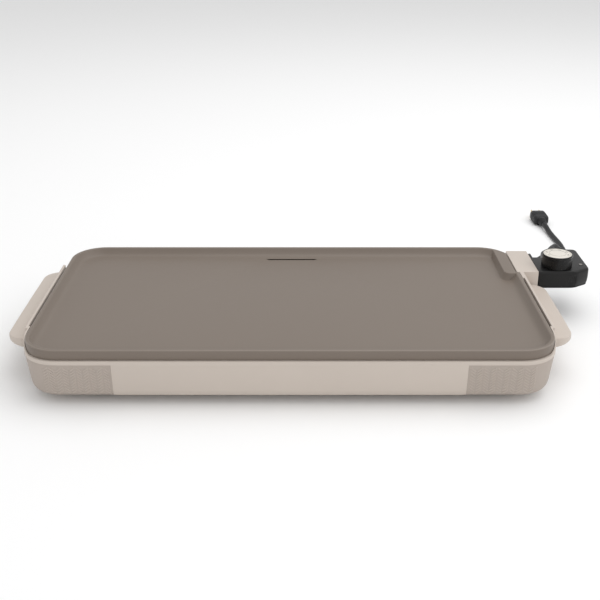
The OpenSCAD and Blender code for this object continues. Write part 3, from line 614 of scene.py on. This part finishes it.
def elementRoute(path):
    r, z = path["bend"], path["height"]
    points = [(path["end"], path["pins"][1], z)]
    # each bend has its middle, the angle it starts at and the way it turns
    left, right, front = path["left"], path["right"], path["front"]
    bends = [((left + r, path["pins"][1] - r), 90, 1), ((left + r, front + r), 180, 1),
             ((right - r, front + r), 270, 1), ((right + r, path["pins"][0] - r), 180, -1)]
    for (x, y), start, way in bends:
        for i in range(9):
            angle = math.radians(start + way * i * 90 / 8)
            points.append((x + r * math.cos(angle), y + r * math.sin(angle), z))
    points.append((path["end"], path["pins"][0], z))
    return points


def makePlate(shape):
    top, floor, low, under = shape["rimTop"], shape["floor"], shape["skirtBottom"], shape["under"]
    bm = bmesh.new()
    # outside of the skirt, over the rim, down the well and out to the floor
    steps = [(0.7, low), (0.15, low + 0.2), (0, low + 0.6), (0, top - 1.1), (0.25, top - 0.4),
             (0.8, top - 0.05), (1.3, top), (3.5, top), (4.1, top - 0.15), (4.7, top - 0.7), (5.3, top - 1.6),
             (8.4, floor + 3.8), (9.8, floor + 2.4), (11.4, floor + 1.3), (13.4, floor + 0.6),
             (16, floor + 0.2), (19, floor + 0.04), (22, floor)]
    loops = stack(bm, insetRings(shape, steps), False, False, rounds=14)
    # drain slot: softened lip, then straight down
    long, wide = shape["slotLong"], shape["slotWide"]
    slotSteps = [(1.0, floor), (0.55, floor - 0.1), (0.15, floor - 0.4), (0, floor - 0.9), (0, under)]
    slotRings = [(long + 2 * o, wide + 2 * o, wide / 2 + o - 0.01, z) for o, z in slotSteps]
    slotLoops = stack(bm, slotRings, False, False, middle=shape["slotAt"], rounds=10)
    bmesh.ops.triangle_fill(bm, use_beauty=True, use_dissolve=False, edges=loops[-1] + slotLoops[0])
    # underside: skirt's lower edge, the step that hangs into the base, and its flat
    stepIn = shape["stepIn"]
    steps = [(0.7, low), (stepIn - 0.5, low), (stepIn, low - 0.3), (stepIn, under + 0.5),
             (stepIn + 0.6, under)]
    lower = stack(bm, insetRings(shape, steps), False, False, rounds=14)
    bmesh.ops.triangle_fill(bm, use_beauty=True, use_dissolve=False, edges=lower[-1] + slotLoops[-1])
    plate = solidObject("griddlePlate", bm)

    # flat corner beside the socket, trimmed to the plate's own outline
    left, front, r = shape["shelfX"], shape["shelfY"], shape["shelfCorner"]
    steps = [(3.9, floor - 1.5), (3.9, floor + 0.1), (3.2, floor + 0.7), (0.9, top - 1.4), (0.5, top - 0.6),
             (0.1, top - 0.15), (-0.5, top)]
    bm = bmesh.new()
    stack(bm, [(60 + 2 * grow, 120 + 2 * grow, r + grow, z) for grow, z in steps],
          middle=(left + 30, front + 60), rounds=8)
    shelf = solidObject("shelf", bm)
    steps = [(0.05, low + 0.5), (0.05, top - 1.1), (0.3, top - 0.4), (0.85, top - 0.05), (1.35, top + 0.01)]
    bm = bmesh.new()
    stack(bm, insetRings(shape, steps), rounds=14)
    combine(shelf, solidObject("trim", bm), "INTERSECT")
    combine(plate, shelf, "UNION")
    front, back = shape["notchY"]
    cut(plate, blocks([((shape["notchX"], front, 50), (300, back, 70))]))

    # under the plate: screw bosses, the socket boss and the ridge over the element
    bm = bmesh.new()
    turnedAt(bm, [(0, 46.5), (2.0, 46.5), (6.1, 46.5), (6.5, 46.9), (6.5, 52), (0, 52.9)], screwPlaces)
    slab(bm, (263, 73, 43.5), (282, 113, 54), 1.0)
    slab(bm, (215.1, 87.5, 43.5), (264, 98.5, 53), 1.0)
    join(plate, bm)
    route = elementRoute(elementPath)
    ridge = pathTube([(x, y, 0) for x, y, _ in route], 6.0)
    bmesh.ops.transform(ridge, matrix=Matrix.Translation((0, 0, 50.9)) @ Matrix.Diagonal((1, 1, 0.8, 1)),
                        verts=ridge.verts)
    join(plate, ridge)
    # the groove runs out past the ends of the element
    cut(plate, pathTube([(x + (8 if x > 270 else 0), y, z) for x, y, z in route], 3.55))
    bm = bmesh.new()
    depth = 70
    place = Matrix.Translation((probe["tip"] + depth / 2, probe["y"], probe["height"]))
    rod(bm, probe["bore"], depth, place @ Matrix.Rotation(math.pi / 2, 4, "Y"))
    cut(plate, bm)
    finishPiece(plate, "coating", "base", ["cooking_plate"])
    plate.data.materials.append(finishes["rim"])  # painted highlight: the rim's outer edge is painted lighter where it catches light
    for face in plate.data.polygons:
        spot = face.center * 1000
        if spot.z > top - 1.05 and outlineGap(shape, spot) < 1.25:
            face.material_index = 1


makePlate(plateShape)
print("cooking plate made")

baseShape = {
    "width": 577.0, "depth": 319.0, "corner": 41.5, "top": 54.0, "lift": 9.0,
    "openWidth": 558.0, "openDepth": 297.0, "openCorner": 32.0,
    "panelHalf": 188.8, "recess": 0.7,
    "handleTop": 51.0, "handleOut": 317.0, "handleRoot": 286.5, "handleCorner": 20.0, "bow": 0.6,
    "leftHandle": (-96, 104), "rightHandle": (-96, 62),
    "fenceTop": 66.0, "fenceX": (289.5, 292.5), "leftFenceEnd": 91.0, "rightFenceEnd": 65.8,
    "fenceFront": -99.0, "railGap": 0.4, "railThick": 1.4,
}
footPlaces = [(215, 118), (-215, 118), (215, -118), (-215, -118)]
# the outer wall from the ledge to the underside: how far in, and how high
wallLine = [(0, 53.1), (0, 48), (1.2, 38), (2.35, 28), (3.5, 18), (4.4, 14.4), (6.2, 11.7), (8.9, 9.8),
            (12.5, baseShape["lift"])]


def wallIn(height):
    # how far the outer wall leans in at a height
    for (a, high), (b, low) in zip(wallLine, wallLine[1:]):
        if low <= height <= high:
            return a + (b - a) * (high - height) / (high - low)
    return 0.0


def panelSolid(shape, side):
    # the smooth middle panel, a strip of the wall that stands flush with the ledge's band
    y = shape["depth"] / 2
    line = [(y - i, z) for i, z in wallLine[:-1]]
    line += [(y - 11.5, 9.1), (y - 11.5, 13), (y - 6.5, 18), (y - 2.5, 48), (y - 2.5, 52)]
    return prism([(side * a, z) for a, z in line], shape["panelHalf"], 0.35)


def handleSolid(shape, side, ends):
    bm = bmesh.new()
    front, back = ends
    long, out, root = back - front, shape["handleOut"], shape["handleRoot"]
    middle = (front + back) / 2
    # each step is how far in, and how far below the top
    steps = [(3.2, 7.6), (1.9, 7.5), (0.9, 7.0), (0.2, 6.1), (0, 5.2), (0, 1.7), (0.3, 0.7), (0.9, 0.15),
             (1.6, 0)]
    rings = [(out - root - i, long - 2 * i, shape["handleCorner"] - i, shape["handleTop"] - down)
             for i, down in steps]
    loops = [outline(bm, *size, middle=(side * (root + size[0] / 2), middle), rounds=10, cuts=8,
                     square=-side) for size in rings]
    for low, high in zip(loops, loops[1:]):
        bmesh.ops.bridge_loops(bm, edges=low + high)
    bmesh.ops.contextual_create(bm, geom=loops[0])
    bmesh.ops.contextual_create(bm, geom=loops[-1])
    for v in bm.verts:
        if v.co.z < shape["handleTop"] - 5.1:
            v.co.z -= (out - abs(v.co.x)) * 0.21  # the underside drops towards the wall
        share = (v.co.y - middle) / (long / 2)
        v.co.x += side * shape["bow"] * (1 - share * share) * (abs(v.co.x) - root) / (out - root)
    return bm


def railSolid(shape, plate, side):
    # a thin rail that climbs out of the ledge, close round the plate's front corner, up to the fence
    bm = bmesh.new()
    r = plate["corner"] + shape["railGap"]
    corner = (plate["width"] / 2 - plate["corner"], -plate["depth"] / 2 + plate["corner"])
    arc = math.radians(48)
    straight = shape["fenceFront"] + 1 - corner[1]
    bmesh.ops.create_grid(bm, x_segments=56, y_segments=3, size=1)
    for v in bm.verts:
        u, w = (v.co.x + 1) / 2, (v.co.y + 1) / 2
        s = u * (arc * r + straight)
        angle = -(arc - s / r) if s < arc * r else 0
        x = corner[0] + r * math.cos(angle)
        y = corner[1] + (r * math.sin(angle) if s < arc * r else s - arc * r)
        climb = min(1, s / (arc * r + straight * 0.5))
        climb = climb * climb * (3 - 2 * climb)
        top = shape["top"] - 0.3 + (shape["fenceTop"] - shape["top"] + 0.3) * climb
        v.co = (side * x, y, 51 + (top - 51) * w)
    bmesh.ops.recalc_face_normals(bm, faces=bm.faces)
    facingOut = sum(f.normal.x * side for f in bm.faces) > 0
    thick = shape["railThick"]
    bmesh.ops.solidify(bm, geom=bm.faces[:], thickness=-thick if facingOut else thick)
    return bm


def makeBase(shape):
    bm = bmesh.new()
    k, top = shape["recess"], shape["top"]
    lip = (shape["openWidth"], shape["openDepth"], shape["openCorner"])
    rings = [(*lip, top - 2.6), (*lip, top - 0.4), (lip[0] + 0.8, lip[1] + 0.8, lip[2] + 0.4, top)]
    outer = [(1.0, top), (0.4, top - 0.15), (0.1, top - 0.5), (0, top - 1), (0, top - 3.6), (0.12, top - 4.1),
             (k, top - 4.5)]
    outer += [(i + k, z) for i, z in wallLine[1:-1]] + [(12.8, shape["lift"])]
    rings += insetRings(shape, outer)
    loops = stack(bm, rings, False, True, rounds=14)
    # inside: under the lip, down the wall and across the floor
    inner = [(3.3, 51), (3.3, 48), (6.8, 18), (8.0, 14.5), (10.5, 12.2), (14, 11.5)]
    under = stack(bm, insetRings(shape, inner), False, True, rounds=14)
    bmesh.ops.bridge_loops(bm, edges=loops[0] + under[0])
    base = solidObject("baseHousing", bm)

    for side in (-1, 1):
        join(base, panelSolid(shape, side))
    for side, ends in ((-1, shape["leftHandle"]), (1, shape["rightHandle"])):
        join(base, handleSolid(shape, side, ends))
    # fences along the handles, with the gap behind each closed at its front end
    inner, outer = shape["fenceX"]
    front, high = shape["fenceFront"], shape["fenceTop"]
    for side, end in ((-1, shape["leftFenceEnd"]), (1, shape["rightFenceEnd"])):
        fence = ((inner, front, 46), (outer, end, high))
        closer = ((287.5, front - 1, 50.5), (outer - 0.3, front + 4, high - 0.05))
        for corners in (fence, closer):
            bm = blocks([corners], 0.7, 3)
            bmesh.ops.scale(bm, vec=(side, 1, 1), verts=bm.verts)
            join(base, bm)
        join(base, railSolid(shape, plateShape, side))
    join(base, blocks([((287.4, 47, 50), (291.6, 65.8, 66))], 0.5, 3))  # fills the gap by the socket
    join(base, blocks([((284.5, 66, 38.9), (311.8, 141.5, 42.9))], 0.8, 3))  # shelf under the socket

    # inside the base: screw posts, tray rails and the tray's stop
    bm = blocks([((-81, 103, 10.5), (-78.5, 153, 19.5)), ((78.5, 103, 10.5), (81, 153, 19.5)),
                 ((-39, 100, 10.5), (39, 102.5, 19.5))], 0.4)
    turnedAt(bm, [(0, 10.2), (8.5, 10.2), (8.0, 12), (6.3, 14), (6.0, 16), (6.0, 32.6), (5.6, 33), (0, 33)],
             screwPlaces)
    join(base, bm)

    cut(base, blocks([((-78.5, 145, 11.5), (78.5, 170, 37.4))]))  # the tray's mouth
    cut(base, blocks([((261, 65.8, 42.9), (293.5, 141.7, 66.5))]))  # room for the socket
    bm = bmesh.new()
    turnedAt(bm, [(0, 8), (4.9, 8), (4.9, 9.05), (4.4, 9.5), (4.4, 20), (2.2, 20), (2.2, 34), (0, 34)],
             screwPlaces)
    turnedAt(bm, [(0, 8), (3.5, 8), (3.5, 12.5), (0, 12.5)], footPlaces, 20)
    cut(base, bm)
    finishPiece(base, "body", "base", ["base_housing"], sharp=30)
    # the recessed wall round the corners and sides is grained and painted darker as painted shade, the middle
    # panels and the ledge are smooth
    base.data.materials.append(finishes["grain"])
    for face in base.data.polygons:
        spot = face.center * 1000
        if 9.3 < spot.z < 49.8 and abs(outlineGap(shape, spot) - wallIn(spot.z) - k) < 0.35:
            face.material_index = 1


makeBase(baseShape)
print("base housing made")

weaveShape = {
    "column": 7.2, "pitch": 3.5, "long": 7.8, "wide": 1.7, "proud": 0.40, "top": 47.2, "bottom": 15.5,
    "start": 190.5, "end": 262.5, "slant": 38,
}


def alongWall(shape, inset, s):
    # a point and outward direction on the base's outline, s millimetres round from the middle of the front
    w, d, r = shape["width"] / 2 - inset, shape["depth"] / 2 - inset, shape["corner"] - inset
    side, s = (1 if s >= 0 else -1), abs(s)
    frontRun, sideRun, arc = w - r, 2 * (d - r), r * math.pi / 2
    if s <= frontRun:
        return Vector((side * s, -d, 0)), Vector((0, -1, 0))
    s -= frontRun
    if s <= arc:
        a = s / r
        return (Vector((side * (w - r + r * math.sin(a)), -d + r - r * math.cos(a), 0)),
                Vector((side * math.sin(a), -math.cos(a), 0)))
    s -= arc
    if s <= sideRun:
        return Vector((side * w, -d + r + s, 0)), Vector((side, 0, 0))
    s -= sideRun
    if s <= arc:
        a = s / r
        return (Vector((side * (w - r + r * math.cos(a)), d - r + r * math.sin(a), 0)),
                Vector((side * math.cos(a), math.sin(a), 0)))
    s -= arc
    return Vector((side * (w - r - s), d, 0)), Vector((0, 1, 0))


def makeWeave(shape, base):
    # slanting raised strokes in zigzag columns round the corners and sides
    bm = bmesh.new()
    w, d, r = base["width"] / 2, base["depth"] / 2, base["corner"]
    total = 2 * (w - r + math.pi * r / 2 + d - r)  # half way round, from front to back
    columns = int((shape["end"] - shape["start"]) / shape["column"])
    rows = int((shape["top"] - shape["bottom"]) / shape["pitch"])
    for side, far in ((-1, 0), (1, 0), (-1, 1), (1, 1)):
        for i in range(columns):
            s = shape["start"] + (i + 0.5) * shape["column"]
            s = side * (total - s if far else s)
            for j in range(rows):
                height = shape["top"] - (j + 0.5) * shape["pitch"] - 1.2
                inset = wallIn(height) + base["recess"]
                place, out = alongWall(base, inset, s)
                place.z = height
                lean = (wallIn(height - 1) - wallIn(height + 1)) / 2
                out = (out - Vector((0, 0, lean))).normalized()
                across = Vector((0, 0, 1)).cross(out).normalized()
                up = out.cross(across)
                turn = Matrix((across, up, out)).transposed().to_4x4()
                slant = math.radians(shape["slant"] if i % 2 else -shape["slant"])
                matrix = (Matrix.Translation(place) @ turn @ Matrix.Rotation(slant, 4, "Z")
                          @ Matrix.Diagonal((shape["long"], shape["wide"], shape["proud"] * 2, 1))
                          @ Matrix.Rotation(math.pi / 4, 4, "Z"))
                bmesh.ops.create_cone(bm, cap_ends=True, segments=4, radius1=0.76, radius2=0.55,
                                      depth=1, matrix=matrix)
    # the strokes take the darker stroke finish, which is painted shade
    finishPiece(meshObject("cornerWeave", bm), "stroke", "base")


makeWeave(weaveShape, baseShape)
print("corner texture made")

coverShape = {
    "x": (284.2, 311.8), "y": (66.0, 141.5), "z": (43.0, 66.0), "wall": 2.5,
    "screws": [(293.1, 131.5), (304.1, 131.5)],
}


def makeCover(shape):
    bm = bmesh.new()
    wide = shape["x"][1] - shape["x"][0]
    deep = shape["y"][1] - shape["y"][0]
    top, low, wall = shape["z"][1], shape["z"][0], shape["wall"]
    middle = (sum(shape["x"]) / 2, sum(shape["y"]) / 2)
    outer = [(0.3, low), (0, low + 0.3), (0, top - 0.5), (0.15, top - 0.15), (0.5, top)]
    rings = [(wide - 2 * i, deep - 2 * i, 1.6 - i * 0.4, z) for i, z in outer]
    loops = stack(bm, rings, False, True, middle=middle, rounds=4)
    inner = [(wall, low), (wall, top - wall - 0.6), (wall + 0.6, top - wall)]
    rings = [(wide - 2 * i, deep - 2 * i, 1.0, z) for i, z in inner]
    inside = stack(bm, rings, False, True, middle=middle, rounds=4)
    bmesh.ops.bridge_loops(bm, edges=loops[0] + inside[0])
    made = solidObject("socketCover", bm)
    # the right-hand top edge is planed off in a narrow bevel
    bm = blocks([((-4, 60, -4), (4, 150, 4))])
    turnAndMove(bm, math.radians(38), "Y", (shape["x"][1] + 1.45, 0, top + 3.4))
    cut(made, bm)
    bm = bmesh.new()
    turnedAt(bm, [(0, 43.2), (1.45, 43.2), (3.4, 43.2), (3.4, 62), (4.2, 64), (0, 64.2)], shape["screws"], 24)
    join(made, bm)
    # the opening that the control's nose goes into
    bm = blocks([((308, 71.4, 42), (313, 114.6, 58.9))], 0.8, 3)
    slab(bm, (308, 71.4, 40), (313, 114.6, 50), 0)
    cut(made, bm)
    bm = bmesh.new()
    turnedAt(bm, [(0, 40), (1.45, 40), (1.45, 55), (0, 55)], shape["screws"], 20)
    cut(made, bm)
    finishPiece(made, "body", "base", ["socket_cover"])


makeCover(coverShape)

trayShape = {
    "half": 78.0, "y": (103, 153), "z": (11.9, 36.9), "wall": 1.6,
    "pullWide": 40.0, "pullDeep": 12.0, "pullEnd": 163.5,
}


def makeTray(shape):
    bm = bmesh.new()
    (front, back), (low, top), wall = shape["y"], shape["z"], shape["wall"]
    wide, deep = 2 * shape["half"], back - front + 1.0
    middle = (0, (front + back + 1.0) / 2)
    steps = [(2.2, low), (1.0, low + 0.3), (0.3, low + 1.0), (0, low + 2.2), (0, top - 0.5), (0.3, top - 0.1),
             (0.6, top), (wall - 0.4, top), (wall, top - 0.4), (wall, low + 4), (wall + 0.6, low + 2.6),
             (wall + 2.0, low + 1.8), (wall + 4, low + wall)]
    rings = [(wide - 2 * i, deep - 2 * i, max(5 - i, 0.6), z) for i, z in steps]
    stack(bm, rings, middle=middle, rounds=6)
    made = solidObject("dripTray", bm)
    # the tray's back follows the base's wall
    y, foot = baseShape["depth"] / 2, low + 0.05
    line = [(y - wallIn(z), z) for z in (top, 30, 24, 18, 14.4, foot)] + [(back, foot), (back, top)]
    join(made, prism(line, shape["half"] - 0.1, 0.5))
    bm = bmesh.new()
    steps = [(0.9, 3.0), (0.3, 2.8), (0, 2.3), (0, 0.7), (0.3, 0.2), (0.9, 0)]
    rings = [(shape["pullWide"] - 2 * i, shape["pullDeep"] - 2 * i, 3.5 - i, top - down) for i, down in steps]
    stack(bm, rings, middle=(0, shape["pullEnd"] - shape["pullDeep"] / 2), rounds=6)
    join(made, bm)
    finishPiece(made, "tray", "tray", ["drip_tray"])


makeTray(trayShape)


def makeFeet():
    bm = bmesh.new()
    profile = [(0, 0.9), (6.0, 0.9), (6.6, 0), (9.3, 0), (10.0, 0.5), (10.4, 2.0), (10.4, 3.2), (11.0, 3.8),
               (11.5, 4.6), (11.5, 8.5), (11.2, 8.98), (3.5, 8.98), (3.5, 11.5), (5.0, 11.55), (4.6, 12.6),
               (3.2, 13.4), (0, 13.5)]
    turnedAt(bm, profile, footPlaces, 40)
    finishPiece(solidObject("rubberFeet", bm), "rubber", "base", ["rubber_feet"])


makeFeet()
print("cover, tray and feet made")

controlShape = {
    "x": (312.1, 379.1), "y": (66.6, 149.0), "split": 45.5, "low": 43.0, "top": 66.0, "wall": 2.0,
    "neckX": 330.1, "neckY": 119.6, "cut": (19.4, 13.0),
    "dial": (338.8, 88.1), "lens": (370.6, 91.5), "recess": (351.1, 360.1, 59.0, 1.2),
    "screws": [(320.7, 113.2), (372.0, 140.2), (346.1, 73.1)],
}


def casePlan(bm, shape, inset, height):
    # the case seen from above: a neck to the socket, a wide body and one corner cut off
    x0, x1 = shape["x"][0], shape["x"][1] - inset
    y0, y1 = shape["y"][0] + inset, shape["y"][1] - inset
    cx, cy = shape["cut"]
    neckX, neckY = shape["neckX"] + inset, shape["neckY"] - inset
    corners = [((x0, y0), 0.8), ((x1 - cx, y0), 5.0), ((x1, y0 + cy), 4.0), ((x1, y1), 6.0 - inset * 0.5),
               ((neckX, y1), 13.0 - inset * 0.5), ((neckX, neckY), 0.8), ((x0, neckY), 0.8)]
    points = [bm.verts.new((*p, height)) for p, _ in corners]
    face = bmesh.ops.contextual_create(bm, geom=points)["faces"][0]
    before = set(bm.faces) - {face}
    for point, (_, radius) in zip(points, corners):
        bmesh.ops.bevel(bm, geom=[point], offset=radius, offset_type="OFFSET", segments=5, profile=0.5,
                        affect="VERTICES", material=-1)
    face = newFace(bm, before)[0]
    edges = list(face.edges)
    bmesh.ops.delete(bm, geom=[face], context="FACES_ONLY")
    return edges


def caseStack(bm, shape, steps, startCap=True, endCap=True):
    loops = [casePlan(bm, shape, i, z) for i, z in steps]
    for low, high in zip(loops, loops[1:]):
        bmesh.ops.bridge_loops(bm, edges=low + high)
    if startCap:
        bmesh.ops.contextual_create(bm, geom=loops[0])
    if endCap:
        bmesh.ops.contextual_create(bm, geom=loops[-1])
    return loops


def makeCase(shape):
    split, top, wall = shape["split"], shape["top"], shape["wall"]
    bm = bmesh.new()
    outer = [(0.9, split), (0.6, split + 1.6), (0.3, split + 3.8), (0.1, split + 6.5), (0, split + 8),
             (0, top - 3.4), (0.15, top - 2.2), (0.6, top - 1.15), (1.3, top - 0.4), (2.3, top - 0.05),
             (2.8, top)]
    loops = caseStack(bm, shape, outer, False, True)
    inner = [(0.9 + wall, split), (0.1 + wall, split + 6.5), (wall, split + 8), (wall, top - wall)]
    inside = caseStack(bm, shape, inner, False, True)
    bmesh.ops.bridge_loops(bm, edges=loops[0] + inside[0])
    case = solidObject("controlCase", bm)

    # the collar against the socket cover, and the nose that plugs in
    bm = blocks([((312.1, 117, split), (315.1, 132, top - 0.1))], 0.6, 3)
    slab(bm, (292.1, 71.8, split), (314.3, 114.2, 58.5), 1.0, 3)
    join(case, bm)
    bm = bmesh.new()
    turnedAt(bm, [(0, split), (3.2, split), (3.2, top - 1.5), (0, top - 1.2)], shape["screws"], 24)
    join(case, bm)

    x0, x1, high, deep = shape["recess"]
    front = shape["y"][0]
    bm = blocks([((x0, front - 3, split - 2), (x1, front + deep + 0.3, high))], 0.5)
    turnedAt(bm, [(0, split - 1), (1.45, split - 1), (1.45, split + 12), (0, split + 12)],
             shape["screws"], 20)
    cut(case, bm)
    bm = bmesh.new()
    holes = [(y, 3.1) for y in elementPath["pins"]] + [(probe["y"], 3.0)]
    for y, r in holes:
        profile = [(0, 288), (r + 0.7, 288), (r + 0.7, 292.2), (r, 292.9), (r, 318), (0, 318)]
        turned(bm, profile, (0, y, probe["height"]), "x", 32)
    cut(case, bm)
    bm = bmesh.new()
    turnedAt(bm, [(0, 60), (3.05, 60), (3.05, 70), (0, 70)], [shape["dial"]], 32)
    turnedAt(bm, [(0, 60), (2.55, 60), (2.55, 65.5), (3.1, 66.1), (3.1, 68), (0, 68)], [shape["lens"]], 32)
    cut(case, bm)
    bm = bmesh.new()
    bootX, _, bootZ = bootShape["middle"]
    turned(bm, [(0, 145), (5.5, 145), (5.5, 148.6), (6.1, 149.2), (6.1, 152), (0, 152)],
           (bootX, 0, bootZ), "y", 32)
    cut(case, bm)
    finishPiece(case, "case", "control", ["upper_case"])
    case.data.materials.append(finishes["knob"])  # painted shade: the thumb recess in front takes the darker, glossier knob finish
    for face in case.data.polygons:
        spot = face.center * 1000
        if x0 - 0.2 < spot.x < x1 + 0.2 and 0.2 < spot.y - front < 2.0 and spot.z < high + 0.2:
            face.material_index = 1

    bm = bmesh.new()
    low = shape["low"]
    caseStack(bm, shape, [(2.3, low), (1.6, low + 0.15), (1.15, low + 0.6), (1.0, split - 0.5),
                          (1.0, split - 0.35), (1.5, split - 0.3), (1.5, split)])
    lower = solidObject("controlFloor", bm)
    # screw holes and cooling slots under the case
    bm = blocks([((334 + i * 4.2, 122, 42), (336 + i * 4.2, 138, 44.1)) for i in range(5)])
    turnedAt(bm, [(0, 42), (3.5, 42), (3.1, 43.4), (3.1, 44.4), (1.65, 44.4), (1.65, 47), (0, 47)],
             shape["screws"])
    cut(lower, bm)
    finishPiece(lower, "case", "control", ["lower_case"])


makeCase(controlShape)

knobShape = {
    "middle": controlShape["dial"], "discRadius": 17.8, "grips": 60, "ticks": 40, "sweep": 270,
    "numbers": ["150", "200", "250", "300", "350", "400"], "numberSize": 2.9, "numberRadius": 13.3,
}


def makeFigure(label, size):
    text = bpy.data.curves.new("figure", "FONT")
    text.body = label
    text.size = size
    text.align_x = "CENTER"
    text.align_y = "CENTER"
    text.extrude = 0.03
    text.resolution_u = 3
    return curveMesh("figure", text)


def makeKnob(shape):
    x, y = shape["middle"]
    bm = bmesh.new()
    profile = [(0, 78.2), (3.05, 78.2), (3.05, 67.4), (6, 67.4), (6, 78.9), (17.1, 78.9), (17.1, 66.4),
               (18.9, 66.4), (19.25, 66.7), (19.3, 67.2), (19.05, 74.5), (18.95, 77.6), (18.7, 77.9),
               (18.7, 78.5), (19.15, 78.8), (19.3, 79.2), (19.35, 81.2), (19.3, 81.8), (19.0, 82.4),
               (18.5, 82.75), (18.15, 82.7), (17.95, 82.3), (17.9, 81.05), (0, 81.0)]
    turned(bm, profile, (x, y, 0), "z", 96)
    made = solidObject("dialKnob", bm)
    # shallow grip flutes round the side
    bm = bmesh.new()
    for i in range(shape["grips"]):
        a = 2 * math.pi * i / shape["grips"]
        spot = Matrix.Translation((x + 19.45 * math.cos(a), y + 19.45 * math.sin(a), 72.3))
        rod(bm, 0.55, 9.4, spot, 8)
    cut(made, bm)
    finishPiece(made, "knob", "dial", ["dial_knob"])

    bm = bmesh.new()
    r = shape["discRadius"]
    profile = [(0, 81.1), (r, 81.1), (r, 82.2), (r - 0.2, 82.5), (r - 0.6, 82.62), (11.6, 82.66),
               (11.2, 82.7), (11.0, 82.78), (6, 82.8), (0, 82.8)]
    turned(bm, profile, (x, y, 0), "z", 96)
    finishPiece(solidObject("dialDisc", bm), "cream", "dial", ["dial_disc"])

    # printed scale: ticks on a ring and generic numbers
    bm = bmesh.new()
    for i in range(shape["ticks"] + 1):
        a = math.radians(225 - i * shape["sweep"] / shape["ticks"])
        long = 1.7 if i % 5 == 0 else 0.9
        middle = 16.6 - long / 2
        spot = Matrix.Translation((x + middle * math.cos(a), y + middle * math.sin(a), 82.64))
        size = Matrix.Diagonal((long, 0.26, 0.06, 1))
        bmesh.ops.create_cube(bm, size=1, matrix=spot @ Matrix.Rotation(a, 4, "Z") @ size)
    ring = [(10.4, 82.75), (10.7, 82.75), (10.7, 82.84), (10.4, 82.84), (10.4, 82.75)]
    turned(bm, ring, (x, y, 0), "z", 64)
    r = shape["numberRadius"]
    for i, label in enumerate(shape["numbers"]):
        a = math.radians(205 - i * 46)
        mesh = makeFigure(label, shape["numberSize"])
        spot = Matrix.Translation((x + r * math.cos(a), y + r * math.sin(a), 82.66))
        mesh.transform(spot @ Matrix.Rotation(a - math.pi / 2, 4, "Z"))
        bm.from_mesh(mesh)
    finishPiece(solidObject("scaleMarks", bm), "ink", "dial")


makeKnob(knobShape)

lensShape = {"middle": controlShape["lens"], "radius": 2.5}


def makeLens(shape):
    bm = bmesh.new()
    r = shape["radius"]
    dome = [(0, 62.2), (r + 1, 62.8), (r + 1, 64.0), (r, 64.0), (r, 66.0), (r - 0.25, 66.35),
            (r - 0.9, 66.55), (0, 66.62)]
    turnedAt(bm, dome, [shape["middle"]], 40)
    finishPiece(solidObject("pilotLens", bm), "lens", "control", ["pilot_lens"])
    bm = bmesh.new()
    ring = [(r + 0.02, 65.6), (r + 0.55, 65.9), (r + 0.55, 66.12), (r + 0.3, 66.3), (r + 0.02, 66.3),
            (r + 0.02, 65.6)]
    turnedAt(bm, ring, [shape["middle"]], 40)
    finishPiece(solidObject("lensRing", bm), "knob", "control")


makeLens(lensShape)
print("temperature control made")

# CAD pieces that keep their own shape, and their finishes
keptNodes = {
    "heating_element": "sheath", "pin_seals": "ceramic", "terminal_pins": "chrome", "heat_shield": "steel",
    "plate_spacers": "steel", "plate_screws": "steel", "socket_screws": "steel", "case_screws": "steel",
    "probe_rod": "chrome", "socket_contacts": "brass", "thermostat_frame": "steel",
    "contact_stack": "ceramic", "contact_blade": "brass", "lead_wires": "sleeve", "pilot_lamp": "lamp",
    "dial_spindle": "steel", "spindle_clip": "steel",
}
for nodeName, finishName in keptNodes.items():
    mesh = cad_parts[nodeName].data
    mesh.materials.clear()
    mesh.materials.append(finishes[finishName])

studio = {
    "floorTone": (0.94, 0.94, 0.94), "worldStrength": 0.72,
    "lights": [
        {"name": "topLight", "place": (0.6, 0.5, 2.2), "aim": (0, 0, 0), "size": 2.4, "power": 23},
        {"name": "rightLight", "place": (2.3, -0.6, 1.6), "aim": (0, 0, 0), "size": 1.6, "power": 9},
        {"name": "frontLight", "place": (0.5, -2.6, 1.2), "aim": (0, 0, 0.05), "size": 2.0, "power": 9},
    ],
}


def makeStudio(setup):
    bm = bmesh.new()
    bmesh.ops.create_grid(bm, x_segments=4, y_segments=4, size=20)
    floor = meshObject("studioFloor", bm)
    f = Finish("paleFloor")
    haze = f.noise(0.8, 2)
    tone = setup["floorTone"]
    f.surface(colour=f.blend(haze, tone, tuple(c * 0.995 for c in tone)), roughness=0.9 + haze * 0.05,
              specular=0.1)
    floor.data.materials.append(f.material)
    world = bpy.data.worlds.new("studio")
    scene.world = world
    world.use_nodes = True
    sky = world.node_tree.nodes["Background"]
    sky.inputs[0].default_value = (1, 1, 1, 1)
    sky.inputs[1].default_value = setup["worldStrength"]
    for light in setup["lights"]:
        data = bpy.data.lights.new(light["name"], "AREA")
        data.energy = light["power"]
        data.size = light["size"]
        lamp = show(light["name"], data)
        lamp.location = light["place"]
        look = Vector(light["aim"]) - lamp.location
        lamp.rotation_euler = look.to_track_quat("-Z", "Y").to_euler()
    scene.view_settings.view_transform = "Standard"


makeStudio(studio)
print("floor and lights made")
